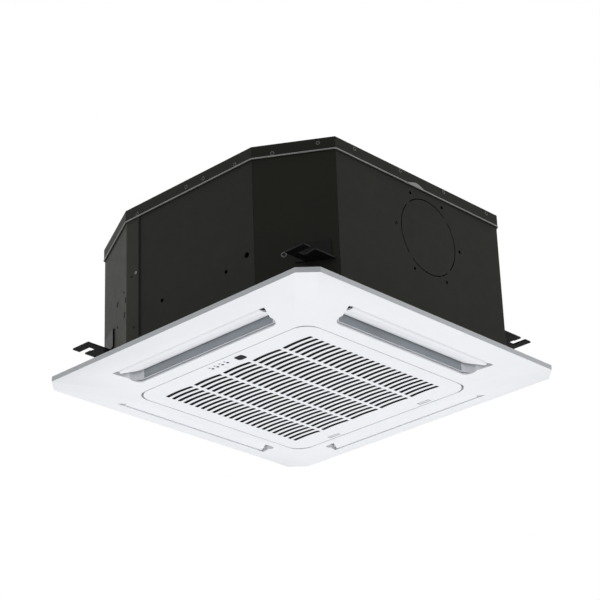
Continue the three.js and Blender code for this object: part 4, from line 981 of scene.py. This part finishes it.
@dataclass
class Grille:
    """The hinged intake grille with its latches and display.

    Args:
        shop: makes the pieces.
        sizes: the grille's sizes.
        display: the display's sizes.
    """

    shop: Workshop
    sizes: GrilleSizes = GrilleSizes()
    display: DisplaySizes = DisplaySizes()

    def build(self) -> None:
        """Makes the grille's visible pieces."""
        self.shop.piece("grille_face", self._face(), Finishes.WHITE, "grille", ("intake_grille",))
        for side in ("front", "back"):
            self.shop.dressed(f"grille_latch_{side}", Finishes.WHITE, self.sizes.latch_edge)
        self.shop.dressed("manual_button", Finishes.WHITE, self.display.button_edge)
        self._lights()
        d = self.display
        window = plate(self._window_edge(0.0), [], d.window_low, d.window_high, d.window_edge)
        self.shop.piece("window_skin", window, Finishes.SMOKED, "grille", ("receiver_window",))
        self.shop.painted("indicator_lens", Finishes.LENS)
        self.shop.painted("display_box", Finishes.BLACK)
        # The filter's dark colour is partly painted shade behind the slots.
        self.shop.painted("air_filter", Finishes.NET)

    def _face(self) -> bpy.types.Mesh:
        """The slotted face with its backing and its turned-up flange.

        Returns:
            The mesh of all three.
        """
        s = self.sizes
        cuts = [*self._thumb_slots(), *self._display_cuts()]
        outline = rounded_square(s.half, s.radius)
        skin = plate(outline, [*self._slots(), *cuts], 0.0, s.bar_thick, s.bar_edge)
        backing = plate(
            rounded_square(s.half - s.backing_inset, s.radius), [self._field_edge(), *cuts],
            s.bar_thick, s.thick, s.backing_edge)
        flange = plate(
            outline, [rounded_square(s.half - s.wall, s.radius - s.wall)],
            s.thick - s.flange_overlap, s.flange, s.flange_edge)
        return joined([skin, backing, flange])

    def _lights(self) -> None:
        """The marks beside the lights, and the lights' flush lenses."""
        d = self.display
        marks = []
        for y in self._light_places():
            dot = disc((d.x - d.mark_beside, y + d.mark_behind), d.mark_radius, d.mark_sides)
            marks.append(plate(dot, [], d.mark_low, d.mark_high, d.mark_edge))
        self.shop.piece("light_marks", joined(marks), Finishes.MARK, "grille")
        pipes = []
        for y in self._light_places():
            lens = disc((d.x - d.light_beside, y), d.light_radius, d.light_segments)
            pipes.append(plate(lens, [], 0.0, d.light_high, d.light_edge))
        self.shop.piece("light_pipes", joined(pipes), Finishes.LENS, "grille")

    def _field_edge(self) -> list[Point2]:
        """The opening behind the slots.

        Returns:
            Its outline.
        """
        s = self.sizes
        x = s.rows / 2 * s.row_pitch
        y = s.columns / 2 * s.column_pitch
        corners = [(x, -y), (x, y), (-x, y), (-x, -y)]
        return softened(moved(corners, s.row_shift, 0.0), s.field_bend, s.field_steps)

    def _slots(self) -> list[list[Point2]]:
        """The curved intake slots.

        Returns:
            The outline of each slot.
        """
        s = self.sizes
        half = s.slot_length / 2
        shares = [2 * i / s.slot_steps - 1 for i in range(s.slot_steps + 1)]
        bow = [s.slot_bow * (t * t - 0.5) for t in shares]
        far = [(s.slot_width / 2 + b, t * half) for b, t in zip(bow, shares)]
        near = [(-s.slot_width / 2 + b, t * half) for b, t in zip(bow, shares)]
        shape = softened([*far, *reversed(near)], s.slot_bend)
        rows = [s.row_shift + (r - (s.rows - 1) / 2) * s.row_pitch for r in range(s.rows)]
        columns = [(c - (s.columns - 1) / 2) * s.column_pitch for c in range(s.columns)]
        return [moved(shape, x, y) for x in rows for y in columns]

    def _thumb_slots(self) -> list[list[Point2]]:
        """The openings in which the two latches slide.

        Returns:
            The outline of each opening.
        """
        s = self.sizes
        x0, x1, half = s.latch_x - s.latch_in, s.latch_x + s.latch_out, s.latch_length / 2
        return [
            softened([(x0, y - half), (x1, y - half), (x1, y + half), (x0, y + half)], s.latch_bend)
            for y in (-s.latch_y, s.latch_y)]

    def _light_places(self) -> list[float]:
        """The lights' places.

        Returns:
            The y of each light.
        """
        d = self.display
        return [d.light_y + (i - (d.lights - 1) / 2) * d.light_pitch for i in range(d.lights)]

    def _window_edge(self, grow: float) -> list[Point2]:
        """The receiver window's outline.

        Args:
            grow: distance by which it is made larger all round.

        Returns:
            The outline.
        """
        d = self.display
        x, y = d.window_width / 2 + grow, d.window_length / 2 + grow
        corners = [(-x, -y), (x, -y), (x, y), (-x, y)]
        return softened(moved(corners, d.x, d.window_y), d.window_bend, d.window_steps)

    def _display_cuts(self) -> list[list[Point2]]:
        """The openings for the window, the lights and the button.

        Returns:
            The outline of each opening.
        """
        d = self.display
        cuts = [self._window_edge(d.window_gap)]
        cuts += [disc((d.x - d.light_beside, y), d.light_hole) for y in self._light_places()]
        cuts.append(disc(d.button, d.button_radius + d.button_gap))
        return cuts


@dataclass(frozen=True)
class LouvreSizes:
    """Sizes of a louvre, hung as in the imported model.

    Lengths across are measured from its tilt axis, outward positive.
    """

    axis_out: float = 0.274
    axis_high: float = 0.020255
    tilt: float = 19.64
    inner: float = -0.0398
    low: float = -0.008
    high: float = -0.0048
    nose: float = 0.0070
    nose_start: float = 0.0035
    nose_gap: float = 1e-5
    nose_half: float = 1e-4
    half: float = 0.175
    corner: float = 0.015
    corner_half: float = 0.150
    corner_turn: float = 70.0
    tip_radius: float = 0.009
    pin_radius: float = 0.0025
    pin_half: float = 0.186


@dataclass
class Louvre:
    """A louvre: a thin blade with a round back along its tilt axis.

    Args:
        sizes: its sizes.
    """

    STEPS = 12

    sizes: LouvreSizes = LouvreSizes()

    def mesh(self, quarter: int) -> bpy.types.Mesh:
        """Makes one louvre.

        Args:
            quarter: quarter turns from the right-hand side.

        Returns:
            The louvre's mesh, in place.
        """
        s = self.sizes
        pins = tube([Vector((0, -s.pin_half, 0)), Vector((0, s.pin_half, 0))], s.pin_radius)
        whole = joined([self._blade(), pins])
        tilt = Matrix.Rotation(math.radians(s.tilt), 4, "Y")
        place = Matrix.Translation((s.axis_out, 0, s.axis_high))
        whole.transform(Matrix.Rotation(math.radians(90 * quarter), 4, "Z") @ place @ tilt)
        return whole

    def _half_length(self, x: float) -> float:
        """Half of the blade's length at a place across it.

        Args:
            x: the place across.

        Returns:
            Half of the length there.
        """
        s = self.sizes
        centre = s.inner + s.corner
        turn = math.radians(s.corner_turn)
        turn_x, turn_y = centre + s.corner * math.cos(turn), s.corner_half + s.corner * math.sin(turn)
        if x < turn_x:
            return s.corner_half + math.sqrt(max(0.0, s.corner**2 - (x - centre) ** 2))
        straight = turn_y + (s.half - turn_y) * (x - turn_x) / (s.nose - turn_x)
        past = max(0.0, x - s.nose + s.tip_radius)
        return straight - s.tip_radius + math.sqrt(s.tip_radius**2 - past**2)

    def _columns(self) -> list[Point3]:
        """The section as columns.

        Returns:
            Place across, lowest and highest point of each column, from the inner edge outward.
        """
        s = self.sizes
        columns = []
        for i in range(self.STEPS + 1):
            x = s.inner + s.corner * (1 - math.cos(math.pi / 2 * i / self.STEPS))
            columns.append((x, s.low, s.high))
        columns.append((-s.nose, s.low, s.high))
        for i in range(self.STEPS):
            x = s.nose * math.sin(math.pi / 2 * i / self.STEPS)
            fade = (1 - i / self.STEPS) ** 2
            low = -math.sqrt(s.nose**2 - x**2) + (s.low + s.nose) * fade
            if x > s.nose_start:
                if columns[-1][0] <= s.nose_start:
                    columns.append((s.nose_start, columns[-1][1], s.high))
                columns.append((x, low, math.sqrt(s.nose**2 - x**2)))
            else:
                columns.append((x, low, s.high))
        columns.append((s.nose - s.nose_gap, -s.nose_half, s.nose_half))
        return columns

    def _blade(self) -> bpy.types.Mesh:
        """The blade, lying along Y with its tilt axis at the origin.

        Returns:
            The blade's mesh.
        """
        work = bmesh.new()
        rows = []
        for x, low, high in self._columns():
            y = self._half_length(x)
            corners = ((x, y, low), (x, y, high), (x, -y, high), (x, -y, low))
            rows.append([work.verts.new(c) for c in corners])
        for a, b in zip(rows, rows[1:]):
            for i in range(len(a)):
                j = (i + 1) % len(a)
                work.faces.new((a[i], a[j], b[j], b[i]))
        work.faces.new(rows[0])
        work.faces.new(reversed(rows[-1]))
        bmesh.ops.recalc_face_normals(work, faces=work.faces)
        mesh = bpy.data.meshes.new("blade")
        work.to_mesh(mesh)
        work.free()
        return mesh


@dataclass(frozen=True)
class PanelSizes:
    """Edge radii of the panel's pieces, and its number of bolts."""

    frame_edge: float = 0.7 * MM
    foam_edge: float = 0.8 * MM
    louvre_edge: float = 0.8 * MM
    motor_edge: float = 0.6 * MM
    bolts: int = 4


@dataclass
class Panel:
    """The square panel with its louvres and insulation.

    Args:
        shop: makes the pieces.
        sizes: the panel's sizes.
        louvre: the louvre that each side has.
    """

    SIDES = ("right", "back", "left", "front")

    shop: Workshop
    sizes: PanelSizes = PanelSizes()
    louvre: Louvre = field(default_factory=Louvre)

    def build(self) -> None:
        """Makes the panel's visible pieces."""
        s = self.sizes
        self.shop.dressed("panel_frame", Finishes.WHITE, s.frame_edge)
        self.shop.dressed("panel_foam", Finishes.GREY_FOAM, s.foam_edge)
        self.shop.painted("panel_gasket", Finishes.BLACK_FOAM)
        for quarter, side in enumerate(self.SIDES):
            skin = self.shop.piece(
                f"louvre_{side}_skin", self.louvre.mesh(quarter), Finishes.WHITE, f"blade_{side}",
                (f"louvre_{side}",))
            self.shop.rounded(skin, s.louvre_edge)
            self.shop.dressed(f"louvre_motor_{side}", Finishes.BLACK, s.motor_edge)
        for number in range(1, s.bolts + 1):
            self.shop.painted(f"panel_bolt_{number}", Finishes.ZINC)


@dataclass
class Inside:
    """What is behind the grille and inside the casing, and the pipe ends.

    Args:
        shop: makes the pieces.
    """

    FINISHES = {
        "top_liner": Finishes.BLACK_FOAM, "fan_motor": Finishes.ZINC, "motor_shaft": Finishes.ZINC,
        "hub_nut": Finishes.ZINC, "turbo_fan": Finishes.BLACK, "bell_mouth": Finishes.BLACK,
        "heat_exchanger": Finishes.FINS, "coil_plate_back": Finishes.ZINC, "coil_plate_right": Finishes.ZINC,
        "drain_pan": Finishes.WHITE_FOAM, "drain_plug": Finishes.BLACK, "drain_pump": Finishes.BLACK,
        "drain_outlet": Finishes.BLACK, "float_switch": Finishes.WHITE, "float": Finishes.WHITE_FOAM,
        "gas_pipe": Finishes.COPPER, "liquid_pipe": Finishes.COPPER, "electrical_box": Finishes.ZINC,
        "electrical_cover": Finishes.ZINC, "control_board": Finishes.BOARD, "terminal_block": Finishes.BLACK,
    }
    NUTS = ("gas_flare_nut", "liquid_flare_nut")
    NUT_EDGE = 0.6 * MM

    shop: Workshop

    def build(self) -> None:
        """Finishes the inner pieces."""
        for node, finish in self.FINISHES.items():
            self.shop.painted(node, finish)
        for node in self.NUTS:
            self.shop.dressed(node, Finishes.BRASS, self.NUT_EDGE)


# ---------- studio ----------
@dataclass(frozen=True)
class Lamp:
    """One soft light.

    Args:
        name: its name.
        place: where it stands.
        target: the point that it faces.
        size: side of its square.
        power: watts.
    """

    name: str
    place: Point3
    target: Point3
    size: float
    power: float


class Studio:
    """Floor, white surroundings, soft lights and the camera."""

    CAMERA_PLACE = Vector((-2.41276, -2.25688, -1.35336))
    CAMERA_RIGHT = Vector((0.69361846, -0.71959418, -0.03282769))
    CAMERA_DOWN = Vector((0.28219413, 0.31337246, -0.90673269))
    CAMERA_FORWARD = Vector((0.66276686, 0.61966275, 0.42042618))
    LENS = 122.09
    SENSOR = 36.0
    FARTHEST = 50.0
    FLOOR_Z = -2.5
    FLOOR_HALF = 9.0
    FLOOR_ROUGHNESS = 0.8
    FLOOR_SCALE = 3.0
    FLOOR_GREYS = (0.86, 0.90)
    SKY = (0.93, 0.96, 1.0, 1.0)
    SKY_STRENGTH = 0.22
    LAMPS = (
        Lamp("key", (0.08, 0.08, -2.4), (0.0, 0.0, 0.0), 3.4, 81.0),
        Lamp("fill", (0.9, -2.3, 0.5), (0.0, 0.0, 0.15), 2.0, 9.0),
        Lamp("top", (0.2, 0.2, 2.6), (0.0, 0.0, 0.3), 2.4, 20.0),
        Lamp("rim", (-2.4, 1.1, 0.8), (0.0, 0.0, 0.15), 1.6, 5.0),
    )

    def build(self) -> None:
        """Sets the stage."""
        self._camera()
        self._floor()
        self._world()
        for lamp in self.LAMPS:
            self._lamp(lamp)
        bpy.context.scene.view_settings.view_transform = "Standard"

    def _camera(self) -> None:
        """Adds the camera at the photograph's viewing angle."""
        data = bpy.data.cameras.new("camera")
        data.lens = self.LENS
        data.sensor_width = self.SENSOR
        data.clip_end = self.FARTHEST
        camera = bpy.data.objects.new("camera", data)
        turn = Matrix((self.CAMERA_RIGHT, -self.CAMERA_DOWN, -self.CAMERA_FORWARD)).transposed()
        camera.matrix_world = Matrix.Translation(self.CAMERA_PLACE) @ turn.to_4x4()
        bpy.context.scene.collection.objects.link(camera)
        bpy.context.scene.camera = camera

    def _floor(self) -> None:
        """Adds the pale floor."""
        work = bmesh.new()
        bmesh.ops.create_grid(work, x_segments=1, y_segments=1, size=self.FLOOR_HALF)
        mesh = bpy.data.meshes.new("floor")
        work.to_mesh(mesh)
        work.free()
        mesh.transform(Matrix.Translation((0, 0, self.FLOOR_Z)))
        floor = bpy.data.objects.new("floor", mesh)
        bpy.context.scene.collection.objects.link(floor)
        mesh.materials.append(self._floor_material())

    def _floor_material(self) -> bpy.types.Material:
        """Makes the floor's material.

        Returns:
            The material.
        """
        material = bpy.data.materials.new("pale_floor")
        material.use_nodes = True
        nodes, links = material.node_tree.nodes, material.node_tree.links
        shader = nodes["Principled BSDF"]
        shader.inputs["Roughness"].default_value = self.FLOOR_ROUGHNESS
        noise = nodes.new("ShaderNodeTexNoise")
        noise.inputs["Scale"].default_value = self.FLOOR_SCALE
        ramp = nodes.new("ShaderNodeValToRGB")
        for stop, grey in zip(ramp.color_ramp.elements, self.FLOOR_GREYS):
            stop.color = (grey, grey, grey, 1.0)
        links.new(noise.outputs["Fac"], ramp.inputs["Fac"])
        links.new(ramp.outputs["Color"], shader.inputs["Base Color"])
        return material

    def _world(self) -> None:
        """Adds soft surroundings, seen as white by the camera, in metal and through glass."""
        world = bpy.data.worlds.new("studio")
        bpy.context.scene.world = world
        world.use_nodes = True
        nodes, links = world.node_tree.nodes, world.node_tree.links
        nodes.clear()
        rays = nodes.new("ShaderNodeLightPath")
        seen = nodes.new("ShaderNodeBackground")
        seen.inputs["Color"].default_value = (1.0, 1.0, 1.0, 1.0)
        seen.inputs["Strength"].default_value = 1.0
        around = nodes.new("ShaderNodeBackground")
        around.inputs["Color"].default_value = self.SKY
        around.inputs["Strength"].default_value = self.SKY_STRENGTH
        mix = nodes.new("ShaderNodeMixShader")
        white = rays.outputs["Is Camera Ray"]
        for kind in ("Is Glossy Ray", "Is Transmission Ray"):
            either = nodes.new("ShaderNodeMath")
            either.operation = "MAXIMUM"
            links.new(white, either.inputs[0])
            links.new(rays.outputs[kind], either.inputs[1])
            white = either.outputs["Value"]
        links.new(white, mix.inputs["Fac"])
        links.new(around.outputs["Background"], mix.inputs[1])
        links.new(seen.outputs["Background"], mix.inputs[2])
        out = nodes.new("ShaderNodeOutputWorld")
        links.new(mix.outputs["Shader"], out.inputs["Surface"])

    def _lamp(self, lamp: Lamp) -> None:
        """Adds a soft light.

        Args:
            lamp: the light's sizes.
        """
        data = bpy.data.lights.new(lamp.name, "AREA")
        data.shape = "SQUARE"
        data.size = lamp.size
        data.energy = lamp.power
        thing = bpy.data.objects.new(lamp.name, data)
        place = Vector(lamp.place)
        thing.location = place
        thing.rotation_mode = "QUATERNION"
        thing.rotation_quaternion = (Vector(lamp.target) - place).to_track_quat("-Z", "Y")
        bpy.context.scene.collection.objects.link(thing)


def main() -> None:
    """Builds the whole scene."""
    logging.basicConfig(level=logging.INFO, format="%(message)s")
    groups = frame["record"]["behaviour"]["bodies"]
    shop = Workshop(MaterialBook(), {node: body for body, nodes in groups.items() for node in nodes})
    Studio().build()
    Casing(shop).build()
    Panel(shop).build()
    Grille(shop).build()
    Inside(shop).build()
    for number, name in enumerate(shop.made, 1):
        LOG.info("piece %d: %s", number, name)


if __name__ == "__main__":
    main()
